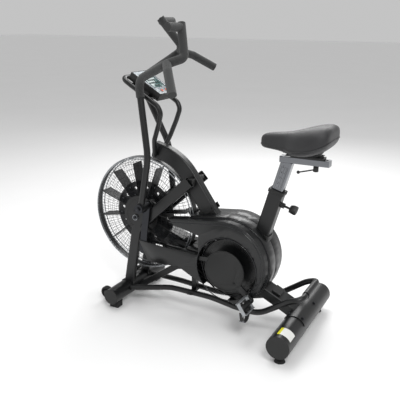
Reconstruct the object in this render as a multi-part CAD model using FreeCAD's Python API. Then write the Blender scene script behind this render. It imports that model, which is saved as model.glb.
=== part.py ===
"""Air bike: a fan-braked exercise bicycle with moving arms, as separate sub-parts.

Frame of the model: +X is forward (fan end), +Y is the rider's left, +Z is up, in millimetres.
The design is laid out in bike coordinates, then every piece is shifted along X so that
the origin is on the floor under the middle of the whole machine.
"""
import FreeCAD
import Part
import os
from math import sin, cos, tan, radians, atan2, sqrt, hypot, pi

V = FreeCAD.Vector
Y_AXIS = V(0, 1, 0)

# ---------------------------------------------------------------- driving dimensions
RUN_GAP = 0.05            # radial clearance of a running fit
BODY_GAP = 0.5            # clearance between curved faces of pieces that move apart
SKIN_GAP = 1.5            # clearance where a frame tube passes through a casing

# stabilisers
REAR_X, REAR_R, REAR_HALF = -342.0, 50.8, 285.0
FOOT_HEIGHT = 30.0        # floor to the underside of the rear stabiliser
FRONT_X, FRONT_R, FRONT_HALF = 537.0, 38.0, 217.0
FRONT_FOOT_HEIGHT = 26.0
STAB_WALL = 2.5
CAP_DEPTH = 12.0
CAP_FACE = 4.0
REAR_Z = FOOT_HEIGHT + REAR_R
FRONT_Z = FRONT_FOOT_HEIGHT + FRONT_R
FOOT_Y, FOOT_PAD_R, FOOT_STUD_R = 250.0, 24.0, 5.0
FOOT_TRAVEL = 10.0
WHEEL_X, WHEEL_Z, WHEEL_Y, WHEEL_R, WHEEL_WIDTH = 610.0, 46.0, 150.0, 30.0, 24.0
WHEEL_PIN_R = 4.0

# crank and drive
CRANK_X, CRANK_Z = -17.0, 281.0
CRANK_LENGTH, CRANK_ANGLE = 172.0, 222.0        # angle of the left arm, from +X up
SHELL_R, SHELL_HALF, AXLE_R = 24.0, 40.0, 10.0
CRANK_BEARING_WIDTH = 12.0
BELT_Y, BELT_WIDTH, BELT_THICK = 52.0, 8.0, 3.0
PULLEY_R, FAN_PULLEY_R = 126.0, 30.0
PULLEY_WALL = 3.0
ARM_Y, ARM_THICK, ARM_WIDTH = 109.0, 12.0, 32.0
COVER_R, COVER_THICK = 96.0, 3.0
COVER_Y = ARM_Y + ARM_THICK / 2 + 1.0
ECCENTRIC_R, ECCENTRIC_PIN_R = 45.0, 5.0
PEDAL_LENGTH, PEDAL_WIDTH, PEDAL_THICK, PEDAL_TILT = 62.0, 88.0, 24.0, -56.0
SPINDLE_R = 6.0

# fan
FAN_X, FAN_Z = 469.0, 444.0
CAGE_R, CAGE_HALF, BAND_HALF, BAND_THICK = 280.0, 46.0, 14.0, 2.5
WIRE = 3.0
SPOKES = 20
GUARD_HUB_R = 90.0
ROTOR_DISC_R, BLADES, BLADE_TIP_R, BLADE_HALF = 160.0, 12, 250.0, 36.0
FAN_AXLE_R, FAN_HUB_R = 8.0, 26.0

# frame tubes
BACKBONE_DEPTH, BACKBONE_WIDTH, TUBE_WALL = 75.0, 45.0, 3.0
BEAM_DEPTH, BEAM_WIDTH, BEAM_SLOPE = 48.0, 88.0, 26.0
FORK_DEPTH, FORK_WIDTH, FORK_Y = 50.0, 25.0, 70.5
AXLE_PLATE = 4.0
KEEL_DEPTH, KEEL_WIDTH = 30.0, 40.0
RAIL_R = 13.0
CONSOLE_TUBE_R = 11.0

# seat
SEAT_ANGLE = 16.0                                # tube leans back from the vertical
SEAT_FOOT_X, SEAT_FOOT_Z = -181.0, 559.0         # a point on the seat tube's axis
SEAT_DEPTH, SEAT_WIDTH, SEAT_WALL = 64.0, 52.0, 3.0
POST_DEPTH, POST_WIDTH = 50.0, 38.0
BUSH_GAP = 0.06                                  # post to its guide bush, each side
SEAT_TOP_Z = 652.0
POST_TOP_Z = 781.0
SLIDER_FRONT, SLIDER_REAR, SLIDER_HEIGHT, SLIDER_WIDTH = -214.0, -424.0, 26.0, 40.0
CLAMP_X, CLAMP_SCREW_R = -366.0, 4.0
SADDLE_LENGTH, SADDLE_WIDTH, SADDLE_FRONT, SADDLE_BASE_Z = 322.0, 236.0, -126.0, 822.0

# arms
PIVOT_X, PIVOT_Z, SWING = 398.0, 518.0, 15.5      # swing is the angle between the two arms
ARM_TUBE_Y = 145.0
ARM_TUBE_R, FOAM_R = 15.0, 18.5
GRIP_CORE_R = 13.0                              # steel core of the grip and the top stub
FOAM_SEAM = 0.8                                 # gap between two foam sleeves
FOAM_SCRAP = 2000.0                             # smallest piece of foam kept, in mm3
SHAFT_R, HOUSING_R, BOSS_R = 10.0, 22.0, 25.0
LEVER_LENGTH, LEVER_THICK, LEVER_WIDTH, LEVER_Y = 233.0, 5.0, 34.0, 94.5
ROD_THICK, ROD_WIDTH, ROD_Y, ROD_LENGTH = 5.0, 20.0, 87.5, 414.0
LINK_PIN_R = 5.0

# casing
CASE_HALF, CASE_STEP_Y, CASE_STEP, CASE_WALL = 101.0, 60.0, 8.0, 3.0
CASE_OPENING_R = 146.0
NOTCH_X = 132.0           # rear edge of the gap between the casing's two limbs
CASE_ROUND_X, CASE_ROUND_Z, CASE_R = -10.0, 310.0, 203.0

# console
CONSOLE_SLOPE = 31.0
CONSOLE_X, CONSOLE_Z = 360.0, 987.0              # lower rear corner of the clamp plates
CONSOLE_LENGTH, CONSOLE_HALF = 176.0, 66.0
BUTTON_R, BUTTON_GAP = 7.0, 0.3
SCREEN_U0, SCREEN_U1, SCREEN_HALF = 52.0, 138.0, 44.0    # display along the slope, half width
CONSOLE_TUBE_Y = 86.0
CONSOLE_BENDS = [60, 90, 40, 40, 34, 34, 40, 40, 90, 60]

# bike X of the middle of the machine, from the front of the fan cage to the saddle's end
ORIGIN_X = (FAN_X + CAGE_R + SADDLE_FRONT - SADDLE_LENGTH) / 2


# ---------------------------------------------------------------- geometry helpers
def rod_y(x, z, r, y0, y1):
    """Cylinder along Y between y0 and y1."""
    return Part.makeCylinder(r, y1 - y0, V(x, y0, z), Y_AXIS)


def tube_y(x, z, r_out, r_in, y0, y1):
    return rod_y(x, z, r_out, y0, y1).cut(rod_y(x, z, r_in, y0 - 1, y1 + 1))


def block(x0, x1, y0, y1, z0, z1):
    return Part.makeBox(x1 - x0, y1 - y0, z1 - z0, V(x0, y0, z0))


def prism_y(points, y0, y1):
    """Flat outline of (x, z) points, extruded along Y."""
    wire = Part.makePolygon([V(x, y0, z) for x, z in points + points[:1]])
    return Part.Face(wire).extrude(V(0, y1 - y0, 0))


def bent_wire(points, radii):
    """Straight runs joined by tangent arcs, one radius for each inner point."""
    edges = []
    start = points[0]
    for i in range(1, len(points) - 1):
        corner = points[i]
        before = (corner - points[i - 1]).normalize()
        after = (points[i + 1] - corner).normalize()
        turn = before.getAngle(after)
        reach = radii[i - 1] * tan(turn / 2)
        enter = corner - before * reach
        leave = corner + after * reach
        bisector = (after - before).normalize()
        middle = corner + bisector * (radii[i - 1] / cos(turn / 2) - radii[i - 1])
        if (enter - start).Length > 1e-4:
            edges.append(Part.LineSegment(start, enter).toShape())
        edges.append(Part.Arc(enter, middle, leave).toShape())
        start = leave
    edges.append(Part.LineSegment(start, points[-1]).toShape())
    return Part.Wire(edges)


def sweep(path, profile):
    solid = path.makePipeShell([profile], True, False)
    return solid if solid.Volume > 0 else solid.reversed()


def round_bar(points, radii, r):
    """Solid round bar along a bent path."""
    path = bent_wire(points, radii)
    ring = Part.Wire(Part.makeCircle(r, points[0], (points[1] - points[0]).normalize()))
    return sweep(path, ring)


def round_tube(points, radii, r, wall):
    return round_bar(points, radii, r).cut(round_bar(points, radii, r - wall))


def rounded_rect(centre, u, v, width, depth, r):
    """Wire of a rounded rectangle, width along u and depth along v."""
    a, b = width / 2, depth / 2
    k = r * (1 - sqrt(0.5))

    def at(p, q):
        return centre + u * p + v * q

    edges = []
    corners = [(a, b, 1, 1), (-a, b, -1, 1), (-a, -b, -1, -1), (a, -b, 1, -1)]
    ends = []
    for cx, cy, sx, sy in corners:
        one = at(cx - sx * r, cy)
        two = at(cx, cy - sy * r)
        mid = at(cx - sx * k, cy - sy * k)
        if sx * sy > 0:
            one, two = two, one
        ends.append((one, mid, two))
    for i in range(4):
        one, mid, two = ends[i]
        edges.append(Part.Arc(one, mid, two).toShape())
        edges.append(Part.LineSegment(two, ends[(i + 1) % 4][0]).toShape())
    return Part.Wire(edges)


def rect_bar(points, radii, depth, width, r, y=0.0):
    """Rectangular bar along a path in a plane of constant Y."""
    path = bent_wire([V(x, y, z) for x, z in points], radii)
    first = V(points[1][0] - points[0][0], 0, points[1][1] - points[0][1]).normalize()
    normal = V(-first.z, 0, first.x)
    profile = rounded_rect(V(points[0][0], y, points[0][1]), Y_AXIS, normal, width, depth, r)
    return sweep(path, profile)


def rect_tube(points, radii, depth, width, wall, r, y=0.0):
    outer = rect_bar(points, radii, depth, width, r, y)
    inner = rect_bar(points, radii, depth - 2 * wall, width - 2 * wall, max(r - wall, 0.8), y)
    return outer.cut(inner)


def mirrored(shape):
    return shape.mirror(V(0, 0, 0), Y_AXIS)


def turned(shape, x, z, angle):
    """Copy turned about the Y axis through (x, z); positive leans the top forward."""
    copy = shape.copy()
    copy.rotate(V(x, 0, z), Y_AXIS, angle)
    return copy


def joined(shapes):
    result = shapes[0].multiFuse(shapes[1:]) if len(shapes) > 1 else shapes[0]
    return result.removeSplitter()


def group(shapes):
    return Part.makeCompound(shapes)


def on_seat_axis(z, forward=0.0):
    """Point on the seat tube's axis at height z, moved forward square to the axis."""
    a = radians(SEAT_ANGLE)
    x = SEAT_FOOT_X - tan(a) * (z - SEAT_FOOT_Z)
    return (x + forward * cos(a), z + forward * sin(a))


def seat_bar(z0, z1, depth, width, r):
    return rect_bar([on_seat_axis(z0), on_seat_axis(z1)], [], depth, width, r)


# ---------------------------------------------------------------- base
def rear_stabiliser():
    return tube_y(REAR_X, REAR_Z, REAR_R, REAR_R - STAB_WALL, -REAR_HALF, REAR_HALF).cut(foot_holes())


def foot_holes():
    holes = [Part.makeCylinder(FOOT_STUD_R + 1.5, REAR_R, V(REAR_X, side * FOOT_Y, REAR_Z - REAR_R - 5))
             for side in (-1, 1)]
    return group(holes)


def foot_nut(side):
    """Threaded boss inside the stabiliser that carries a levelling foot."""
    top = REAR_Z - REAR_R + STAB_WALL
    nut = Part.makeCylinder(FOOT_STUD_R + 6, 16, V(REAR_X, side * FOOT_Y, top - 1))
    bore = Part.makeCylinder(FOOT_STUD_R + RUN_GAP, 40, V(REAR_X, side * FOOT_Y, top - 10))
    shell = tube_y(REAR_X, REAR_Z, REAR_R + 20, REAR_R - STAB_WALL, -REAR_HALF, REAR_HALF)
    return nut.cut(shell).cut(bore)


def levelling_foot(side):
    """Rubber pad on a threaded stud, screwed in from below."""
    pad = Part.makeCone(FOOT_PAD_R, FOOT_PAD_R * 0.8, 9, V(REAR_X, side * FOOT_Y, 0))
    neck = Part.makeCone(FOOT_PAD_R * 0.8, FOOT_STUD_R + 3, 7, V(REAR_X, side * FOOT_Y, 9))
    stud = Part.makeCylinder(FOOT_STUD_R, 40, V(REAR_X, side * FOOT_Y, 12))
    return joined([pad, neck, stud])


def end_cap(x, z, r, half, side):
    """Flanged plastic plug in the end of a stabiliser tube."""
    face = rod_y(x, z, r, half, half + CAP_FACE)
    face = face.makeFillet(2.0, [e for e in face.Edges
                                 if abs(e.BoundBox.YMin - (half + CAP_FACE)) < 1e-3
                                 and e.BoundBox.YLength < 1e-3])
    plug = tube_y(x, z, r - STAB_WALL, r - STAB_WALL - 3, half - CAP_DEPTH, half)
    cap = joined([face, plug])
    return cap if side > 0 else mirrored(cap)


def end_caps():
    """Plastic caps of both stabilisers."""
    caps = []
    for side in (1, -1):
        caps.append(end_cap(REAR_X, REAR_Z, REAR_R, REAR_HALF, side))
        caps.append(end_cap(FRONT_X, FRONT_Z, FRONT_R, FRONT_HALF, side))
    return group(caps)


def front_stabiliser():
    return tube_y(FRONT_X, FRONT_Z, FRONT_R, FRONT_R - STAB_WALL, -FRONT_HALF, FRONT_HALF)


def front_foot(side):
    """Rubber block under the front stabiliser, hollowed to sit round it."""
    half = 20.0
    y = side * (FRONT_HALF - 40)
    pad = block(FRONT_X - 24, FRONT_X + 24, y - half, y + half, 0, FRONT_FOOT_HEIGHT + 9)
    return pad.cut(rod_y(FRONT_X, FRONT_Z, FRONT_R, y - half - 1, y + half + 1))


def front_feet():
    return group([front_foot(side) for side in (1, -1)])


def wheel_bracket(side):
    """Lug from the front stabiliser that holds a transport wheel between two cheeks."""
    y = side * WHEEL_Y
    cheeks = []
    for edge in (-1, 1):
        inner = y + edge * (WHEEL_WIDTH / 2 + BODY_GAP)
        outer = inner + edge * 4
        lug = prism_y([(FRONT_X, FRONT_Z + 14), (WHEEL_X + 9, WHEEL_Z + 9),
                       (WHEEL_X + 9, WHEEL_Z - 9), (FRONT_X + 10, FRONT_Z - 24)],
                      min(inner, outer), max(inner, outer))
        cheeks.append(lug.cut(rod_y(FRONT_X, FRONT_Z, FRONT_R, -400, 400)))
    pin = rod_y(WHEEL_X, WHEEL_Z, WHEEL_PIN_R, y - WHEEL_WIDTH / 2 - 7, y + WHEEL_WIDTH / 2 + 7)
    return joined(cheeks + [pin])


def transport_wheel(side):
    y = side * WHEEL_Y
    tyre = rod_y(WHEEL_X, WHEEL_Z, WHEEL_R, y - WHEEL_WIDTH / 2, y + WHEEL_WIDTH / 2)
    tyre = tyre.makeFillet(5, [e for e in tyre.Edges if e.BoundBox.YLength < 1e-3])
    dish = rod_y(WHEEL_X, WHEEL_Z, WHEEL_R - 9, y - WHEEL_WIDTH, y - 4).fuse(
        rod_y(WHEEL_X, WHEEL_Z, WHEEL_R - 9, y + 4, y + WHEEL_WIDTH))
    hub = rod_y(WHEEL_X, WHEEL_Z, 9, y - WHEEL_WIDTH / 2, y + WHEEL_WIDTH / 2)
    bore = rod_y(WHEEL_X, WHEEL_Z, WHEEL_PIN_R + RUN_GAP, y - 40, y + 40)
    return tyre.cut(dish).fuse(hub).cut(bore)


# ---------------------------------------------------------------- main frame
def beam_direction():
    a = radians(BEAM_SLOPE)
    return cos(a), sin(a)


def rear_beam():
    """Wide rectangular tube from the rear stabiliser up to the crank shell."""
    cx, cz = beam_direction()
    start = (REAR_X + 10 * cx, REAR_Z + 20 + 10 * cz)
    length = (CRANK_X - start[0]) / cx
    end = (CRANK_X, start[1] + length * cz)
    beam = rect_tube([start, end], [], BEAM_DEPTH, BEAM_WIDTH, TUBE_WALL, 6)
    beam = beam.cut(rod_y(REAR_X, REAR_Z, REAR_R, -400, 400))
    return beam.cut(rod_y(CRANK_X, CRANK_Z, SHELL_R, -400, 400)).Solids[0]


def rear_saddle():
    """Curved plate that bolts the beam to the rear stabiliser."""
    half = 98.0
    band = tube_y(REAR_X, REAR_Z, REAR_R + 4, REAR_R, -half, half)
    keep = block(REAR_X - 70, REAR_X + 42, -half, half, REAR_Z + 18, REAR_Z + 70)
    plate = band.common(keep)
    cx, cz = beam_direction()
    start = (REAR_X - 40, REAR_Z + 20 - 40 * cz / cx)
    solid = rect_bar([start, (CRANK_X, start[1] + (CRANK_X - start[0]) * cz / cx)], [],
                     BEAM_DEPTH, BEAM_WIDTH, 6)
    return plate.cut(solid)


def beam_top_block():
    """Short cap block on top of the beam behind the casing."""
    cx, cz = beam_direction()
    mx, mz = REAR_X + 115 * cx, REAR_Z + 20 + 115 * cz
    up = BEAM_DEPTH / 2
    base = (mx - up * cz, mz + up * cx)
    end = (base[0] + 42 * cx, base[1] + 42 * cz)
    mid0 = (base[0] - 6 * cz, base[1] + 6 * cx)
    mid1 = (end[0] - 6 * cz, end[1] + 6 * cx)
    return rect_bar([mid0, mid1], [], 12, 60, 3)


def crank_shell():
    return tube_y(CRANK_X, CRANK_Z, SHELL_R, SHELL_R - 4, -SHELL_HALF, SHELL_HALF)


def crank_bearings():
    rings = []
    for side in (-1, 1):
        y1 = side * SHELL_HALF
        y0 = y1 - side * CRANK_BEARING_WIDTH
        rings.append(tube_y(CRANK_X, CRANK_Z, SHELL_R - 4, AXLE_R + RUN_GAP, min(y0, y1), max(y0, y1)))
    return group(rings)


def backbone_points():
    return [(402.0, 767.0), (272.0, 731.0), (CRANK_X - 6, CRANK_Z + 27)]


def backbone():
    """Arched main tube, from the console end down to the crank shell."""
    tube = rect_tube(backbone_points(), [250.0], BACKBONE_DEPTH, BACKBONE_WIDTH, TUBE_WALL, 8)
    tube = tube.cut(rod_y(CRANK_X, CRANK_Z, SHELL_R, -400, 400))
    tube = tube.cut(seat_bar(150, 700, SEAT_DEPTH + 1, SEAT_WIDTH, 4))
    return max(tube.Solids, key=lambda s: s.Volume)


def backbone_end_plug():
    """Moulded plug that closes the front end of the backbone."""
    (x0, z0), (x1, z1) = backbone_points()[:2]
    run = hypot(x1 - x0, z1 - z0)
    dx, dz = (x0 - x1) / run, (z0 - z1) / run
    return rect_bar([(x0, z0), (x0 + 5 * dx, z0 + 5 * dz)], [], BACKBONE_DEPTH, BACKBONE_WIDTH, 8)


def foot_brackets():
    """Pair of bolted plates where the backbone enters the casing."""
    (x0, z0), (x1, z1) = backbone_points()[1:]
    run = hypot(x1 - x0, z1 - z0)
    dx, dz = (x1 - x0) / run, (z1 - z0) / run
    s = (z0 - 515.0) / -dz
    centre = (x0 + s * dx, z0 + s * dz)
    plates = []
    for side in (1, -1):
        y0 = side * BACKBONE_WIDTH / 2
        y1 = y0 + side * 4
        a = (centre[0] - 12 * dx, centre[1] - 12 * dz)
        b = (centre[0] + 14 * dx, centre[1] + 14 * dz)
        plate = rect_bar([a, b], [], BACKBONE_DEPTH + 14, 4, 1, (y0 + y1) / 2)
        bolts = [rod_y(centre[0] + k * 26 * dz, centre[1] - k * 26 * dx, 5, min(y1, y1 + side * 5),
                       max(y1, y1 + side * 5)) for k in (-1, 1)]
        plates += [joined([plate] + bolts)]
    return group(plates)


def fork_points():
    return [(186.0, 652.0), (472.0, 388.0), (526.0, FRONT_Z + 25)]


def fork(side):
    """Bent rectangular tube: from the backbone forward, then down to the front stabiliser."""
    y = side * FORK_Y
    tube = rect_tube(fork_points(), [95.0], FORK_DEPTH, FORK_WIDTH, 2.5, 5, y)
    tube = tube.cut(rod_y(FRONT_X, FRONT_Z, FRONT_R, -400, 400))
    return max(tube.Solids, key=lambda s: s.Volume)


def axle_plate(side):
    """Plate on the outer face of a fork tube that carries the fan axle."""
    y0 = FORK_Y + FORK_WIDTH / 2
    plate = prism_y([(404, 478), (446, 398), (478, 396), (494, 428), (494, 462), (462, 480)],
                    y0, y0 + AXLE_PLATE)
    plate = plate.cut(rod_y(FAN_X, FAN_Z, FAN_AXLE_R, 0, 200))
    return plate if side > 0 else mirrored(plate)


def fork_spacer():
    """Cross block that ties both fork tubes to the backbone."""
    x, z = 196.0, 642.0
    inner = FORK_Y - FORK_WIDTH / 2
    bars = []
    for side in (1, -1):
        y0, y1 = side * BACKBONE_WIDTH / 2, side * inner
        bars.append(block(x - 16, x + 16, min(y0, y1), max(y0, y1), z - 16, z + 16))
    return group(bars)


def fork_saddle(side):
    """Foot plate of a fork leg on the front stabiliser."""
    half = 13.5
    y = side * FORK_Y
    band = tube_y(FRONT_X, FRONT_Z, FRONT_R + 4, FRONT_R, y - half, y + half)
    keep = block(FRONT_X - 44, FRONT_X + 30, y - half, y + half, FRONT_Z + 14, FRONT_Z + 60)
    leg = rect_bar(fork_points(), [95.0], FORK_DEPTH, FORK_WIDTH, 5, y)
    return band.common(keep).cut(leg)


def keel_tube():
    """Lower frame tube from the crank shell down and forward to the front stabiliser."""
    points = [(CRANK_X + 12, CRANK_Z - 24), (285.0, 203.0), (505.0, 49.0)]
    tube = rect_tube(points, [60.0], KEEL_DEPTH, KEEL_WIDTH, 2.5, 5)
    tube = tube.cut(rod_y(FRONT_X, FRONT_Z, FRONT_R, -400, 400))
    tube = tube.cut(rod_y(CRANK_X, CRANK_Z, SHELL_R, -400, 400))
    return max(tube.Solids, key=lambda s: s.Volume)


def rail_points():
    half = [(500, 98, 73), (300, 46, 99), (90, 34, 92), (-60, 66, 90), (-185, 104, 110),
            (-322, 114, 205), (-378, 112, 226)]
    left = [V(x, y, z) for x, y, z in half]
    return left + [V(p.x, -p.y, p.z) for p in reversed(left)]


def rail_hoop():
    """One bent round tube: side rails from the front stabiliser, joined as a rear lift handle."""
    points = rail_points()
    radii = [260, 260, 260, 180, 120, 34, 34, 120, 180, 260, 260, 260]
    tube = round_tube(points, radii, RAIL_R, 2.0)
    return tube.cut(rod_y(FRONT_X, FRONT_Z, FRONT_R, -400, 400))


def lift_sleeve():
    """Rubber sleeve on the cross part of the rear lift handle."""
    return tube_y(-378.0, 226.0, RAIL_R + 3, RAIL_R, -62, 62)


def rail_bracket():
    """Cross plate under the keel that carries the side rails."""
    x0, x1 = 180.0, 205.0
    z_keel = CRANK_Z - 24 - KEEL_DEPTH / 2
    span = (285.0 - x0) / (285.0 - (CRANK_X + 12))
    keel_z = 203.0 + (CRANK_Z - 24 - 203.0) * span - KEEL_DEPTH / 2 - 3
    post = block(x0, x1, -12, 12, 97, min(keel_z, z_keel) + 2)
    bar = block(x0, x1, -60, 60, 90, 98)
    cutters = [round_bar(rail_points()[:3], [260], RAIL_R)]
    cutters.append(mirrored(cutters[0]))
    keel = rect_bar([(CRANK_X + 12, CRANK_Z - 24), (285.0, 203.0), (505.0, 49.0)], [60.0],
                    KEEL_DEPTH, KEEL_WIDTH, 5)
    return joined([post, bar]).cut(group(cutters)).cut(keel)


def seat_tube():
    """Rectangular seat tube, from the rear beam up."""
    tube = rect_tube([on_seat_axis(190), on_seat_axis(SEAT_TOP_Z)], [], SEAT_DEPTH, SEAT_WIDTH,
                     SEAT_WALL, 6)
    cx, cz = beam_direction()
    start = (REAR_X, REAR_Z + 20)
    beam = rect_bar([start, (CRANK_X + 40, start[1] + (CRANK_X + 40 - REAR_X) * cz / cx)], [],
                    BEAM_DEPTH, BEAM_WIDTH, 6)
    tube = tube.cut(beam)
    tube = max(tube.Solids, key=lambda s: s.BoundBox.ZMax)
    return tube.cut(pin_hole())


def pin_axis():
    """Base point and direction of the height pin, square to the seat tube, pointing back."""
    x, z = on_seat_axis(600.0, -SEAT_DEPTH / 2)
    a = radians(SEAT_ANGLE)
    return V(x, 0, z), V(-cos(a), 0, -sin(a))


def pin_hole():
    base, back = pin_axis()
    return Part.makeCylinder(8.0, 12, base - back * 6, back)


def seat_bush():
    """Plastic guide bush between the seat tube and the post."""
    a = (SEAT_DEPTH - 2 * SEAT_WALL, SEAT_WIDTH - 2 * SEAT_WALL)
    outer = seat_bar(540, SEAT_TOP_Z, a[0], a[1], 3)
    inner = seat_bar(530, SEAT_TOP_Z + 20, POST_DEPTH + 2 * BUSH_GAP, POST_WIDTH + 2 * BUSH_GAP, 4)
    return outer.cut(inner).cut(pin_hole_long())


def pin_hole_long():
    base, back = pin_axis()
    return Part.makeCylinder(5.0 + RUN_GAP, 30, base - back * 22, back)


def seat_collar():
    """Moulded collar round the mouth of the seat tube."""
    lip = seat_bar(SEAT_TOP_Z - 10, SEAT_TOP_Z + 5, SEAT_DEPTH + 8, SEAT_WIDTH + 8, 8)
    lip = lip.cut(seat_bar(SEAT_TOP_Z - 40, SEAT_TOP_Z, SEAT_DEPTH, SEAT_WIDTH, 6))
    return lip.cut(seat_bar(SEAT_TOP_Z - 40, SEAT_TOP_Z + 40, POST_DEPTH + 2, POST_WIDTH + 2, 4))


def seat_boot():
    """Tapered plastic boot where the seat tube leaves the casing."""
    outer = []
    for z, grow in ((392.0, 20.0), (455.0, 10.0)):
        x, zz = on_seat_axis(z)
        a = radians(SEAT_ANGLE)
        outer.append(rounded_rect(V(x, 0, zz), Y_AXIS, V(cos(a), 0, sin(a)), SEAT_WIDTH + grow,
                                  SEAT_DEPTH + grow, 9))
    boot = Part.makeLoft(outer, True, True)
    hole = seat_bar(300, 560, SEAT_DEPTH + 0.2, SEAT_WIDTH + 0.2, 6)
    return boot.cut(hole).cut(casing_solid(0.0, -CASE_STEP_Y, CASE_STEP_Y))


def pin_boss():
    """Threaded boss on the back of the seat tube for the height pin."""
    base, back = pin_axis()
    boss = Part.makeCylinder(12.0, 18, base, back)
    return boss.cut(Part.makeCylinder(5.0 + RUN_GAP, 40, base - back * 2, back))


# ---------------------------------------------------------------- casing
def casing_outline(inset):
    """Outline of the drive casing in the XZ plane, moved inwards by inset."""
    r = CASE_R - inset
    start = V(CASE_ROUND_X + r * cos(radians(84)), 0, CASE_ROUND_Z + r * sin(radians(84)))
    rear = V(CASE_ROUND_X - r, 0, CASE_ROUND_Z)
    end = V(CASE_ROUND_X + r * cos(radians(256)), 0, CASE_ROUND_Z + r * sin(radians(256)))
    run = [(10, 146 + inset), (160, 203 + inset), (232, 239 + inset), (303, 231 + inset),
           (405 - inset, 232 + inset), (452 - inset, 344 - inset), (320, 336 - inset),
           (NOTCH_X - inset, 328 - inset), (NOTCH_X - inset, 410 + inset),
           (262 - inset, 438 + inset), (286 - inset, 480 - inset)]
    points = [V(x, 0, z) for x, z in run]
    edges = [Part.Arc(start, rear, end).toShape(), Part.LineSegment(end, points[0]).toShape()]
    for one, two in zip(points, points[1:] + [start]):
        edges.append(Part.LineSegment(one, two).toShape())
    return Part.Wire(edges)


def casing_solid(inset, y0, y1):
    face = Part.Face(casing_outline(inset))
    solid = face.extrude(V(0, y1 - y0, 0))
    solid.translate(V(0, y0, 0))
    return solid


def casing_block(shrink, start, end):
    """Stepped solid of one casing half: wide crown, then the narrower side."""
    crown = casing_solid(shrink, start, CASE_STEP_Y - shrink)
    side = casing_solid(shrink + CASE_STEP, start, end)
    return crown.fuse(side)


def fan_clearance(extra):
    return rod_y(FAN_X, FAN_Z, CAGE_R + 8 + extra, -CAGE_HALF - 3, CASE_STEP_Y)


def left_casing():
    """Left half shell of the drive casing, open towards the frame."""
    outer = casing_block(0.0, 1.0, CASE_HALF)
    inner = casing_block(CASE_WALL, -2.0, CASE_HALF - CASE_WALL)
    shell = outer.cut(inner)
    shell = shell.cut(rod_y(CRANK_X, CRANK_Z, CASE_OPENING_R, CASE_STEP_Y + 5, 200))
    shell = shell.cut(fan_clearance(0.0))
    shell = shell.cut(frame_passages())
    lever_slot = block(300, 470, ROD_Y - 6, CASE_HALF - CASE_WALL, 290, 360)
    open_front = block(380, 470, 50, CASE_HALF - CASE_WALL, 200, 360)
    shell = shell.cut(lever_slot).cut(open_front).cut(foot_brackets())
    return max(shell.Solids, key=lambda s: s.Volume)


def frame_passages():
    """Room for every frame tube that passes through the casing."""
    grow = 2 * SKIN_GAP
    cx, cz = beam_direction()
    start = (REAR_X, REAR_Z + 20)
    end = (CRANK_X + 30, start[1] + (CRANK_X + 30 - REAR_X) * cz / cx)
    beam = rect_bar([start, end], [], BEAM_DEPTH + grow, BEAM_WIDTH + grow, 6)
    arch = rect_bar(backbone_points(), [250.0], BACKBONE_DEPTH + grow, BACKBONE_WIDTH + grow, 8)
    seat = seat_bar(200, 640, SEAT_DEPTH + grow, SEAT_WIDTH + grow, 6)
    keel = rect_bar([(CRANK_X + 12, CRANK_Z - 24), (285.0, 203.0), (505.0, 49.0)], [60.0],
                    KEEL_DEPTH + grow, KEEL_WIDTH + grow, 5)
    return group([beam, arch, seat, keel])


# ---------------------------------------------------------------- crank group
def crank_axle():
    return rod_y(CRANK_X, CRANK_Z, AXLE_R, -(ARM_Y - ARM_THICK / 2), ARM_Y - ARM_THICK / 2)


def at_crank(angle, r):
    a = radians(angle)
    return CRANK_X + r * cos(a), CRANK_Z + r * sin(a)


def left_crank_arm():
    """Flat forged arm with round ends and a threaded pedal eye."""
    px, pz = at_crank(CRANK_ANGLE, CRANK_LENGTH)
    y0, y1 = ARM_Y - ARM_THICK / 2, ARM_Y + ARM_THICK / 2
    root = rod_y(CRANK_X, CRANK_Z, 19, y0, y1)
    eye = rod_y(px, pz, 14, y0, y1)
    a = radians(CRANK_ANGLE)
    nx, nz = -sin(a), cos(a)
    web = prism_y([(CRANK_X + nx * 17, CRANK_Z + nz * 17), (px + nx * 12, pz + nz * 12),
                   (px - nx * 12, pz - nz * 12), (CRANK_X - nx * 17, CRANK_Z - nz * 17)], y0, y1)
    return joined([root, eye, web]).cut(rod_y(px, pz, SPINDLE_R + RUN_GAP, y0 - 1, y1 + 1))


def right_crank(shape):
    """Mirror a left crank piece and turn it half a turn, as a crank set is."""
    return turned(mirrored(shape), CRANK_X, CRANK_Z, 180)


def left_crank_cover():
    """Round cover disc on the crank, with the link pin opposite the arm."""
    disc = rod_y(CRANK_X, CRANK_Z, COVER_R, COVER_Y, COVER_Y + COVER_THICK)
    hx, hz = at_crank(CRANK_ANGLE, COVER_R * 0.72)
    disc = disc.cut(rod_y(hx, hz, 5, COVER_Y - 1, COVER_Y + 10))
    ex, ez = at_crank(CRANK_ANGLE + 180, ECCENTRIC_R)
    pin = rod_y(ex, ez, ECCENTRIC_PIN_R, ROD_Y + ROD_THICK / 2 + 2, COVER_Y)
    hub = rod_y(CRANK_X, CRANK_Z, 12, ARM_Y + ARM_THICK / 2, COVER_Y)
    return joined([disc, pin, hub])


def drive_pulley():
    """Large grooved pulley on the left of the crank shell."""
    y0, y1 = BELT_Y - BELT_WIDTH / 2 - 1, BELT_Y + BELT_WIDTH / 2 + 1
    rim = tube_y(CRANK_X, CRANK_Z, PULLEY_R, PULLEY_R - 14, y0, y1)
    web = rod_y(CRANK_X, CRANK_Z, PULLEY_R - 13, BELT_Y - 2, BELT_Y + 2)
    for i in range(6):
        hx, hz = at_crank(CRANK_ANGLE + 30 + 60 * i, 74)
        web = web.cut(rod_y(hx, hz, 22, 0, 100))
    hub = rod_y(CRANK_X, CRANK_Z, 26, BELT_Y - 8, BELT_Y + 10)
    wheel = joined([rim, web, hub])
    return wheel.cut(rod_y(CRANK_X, CRANK_Z, AXLE_R, 0, 120))


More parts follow.
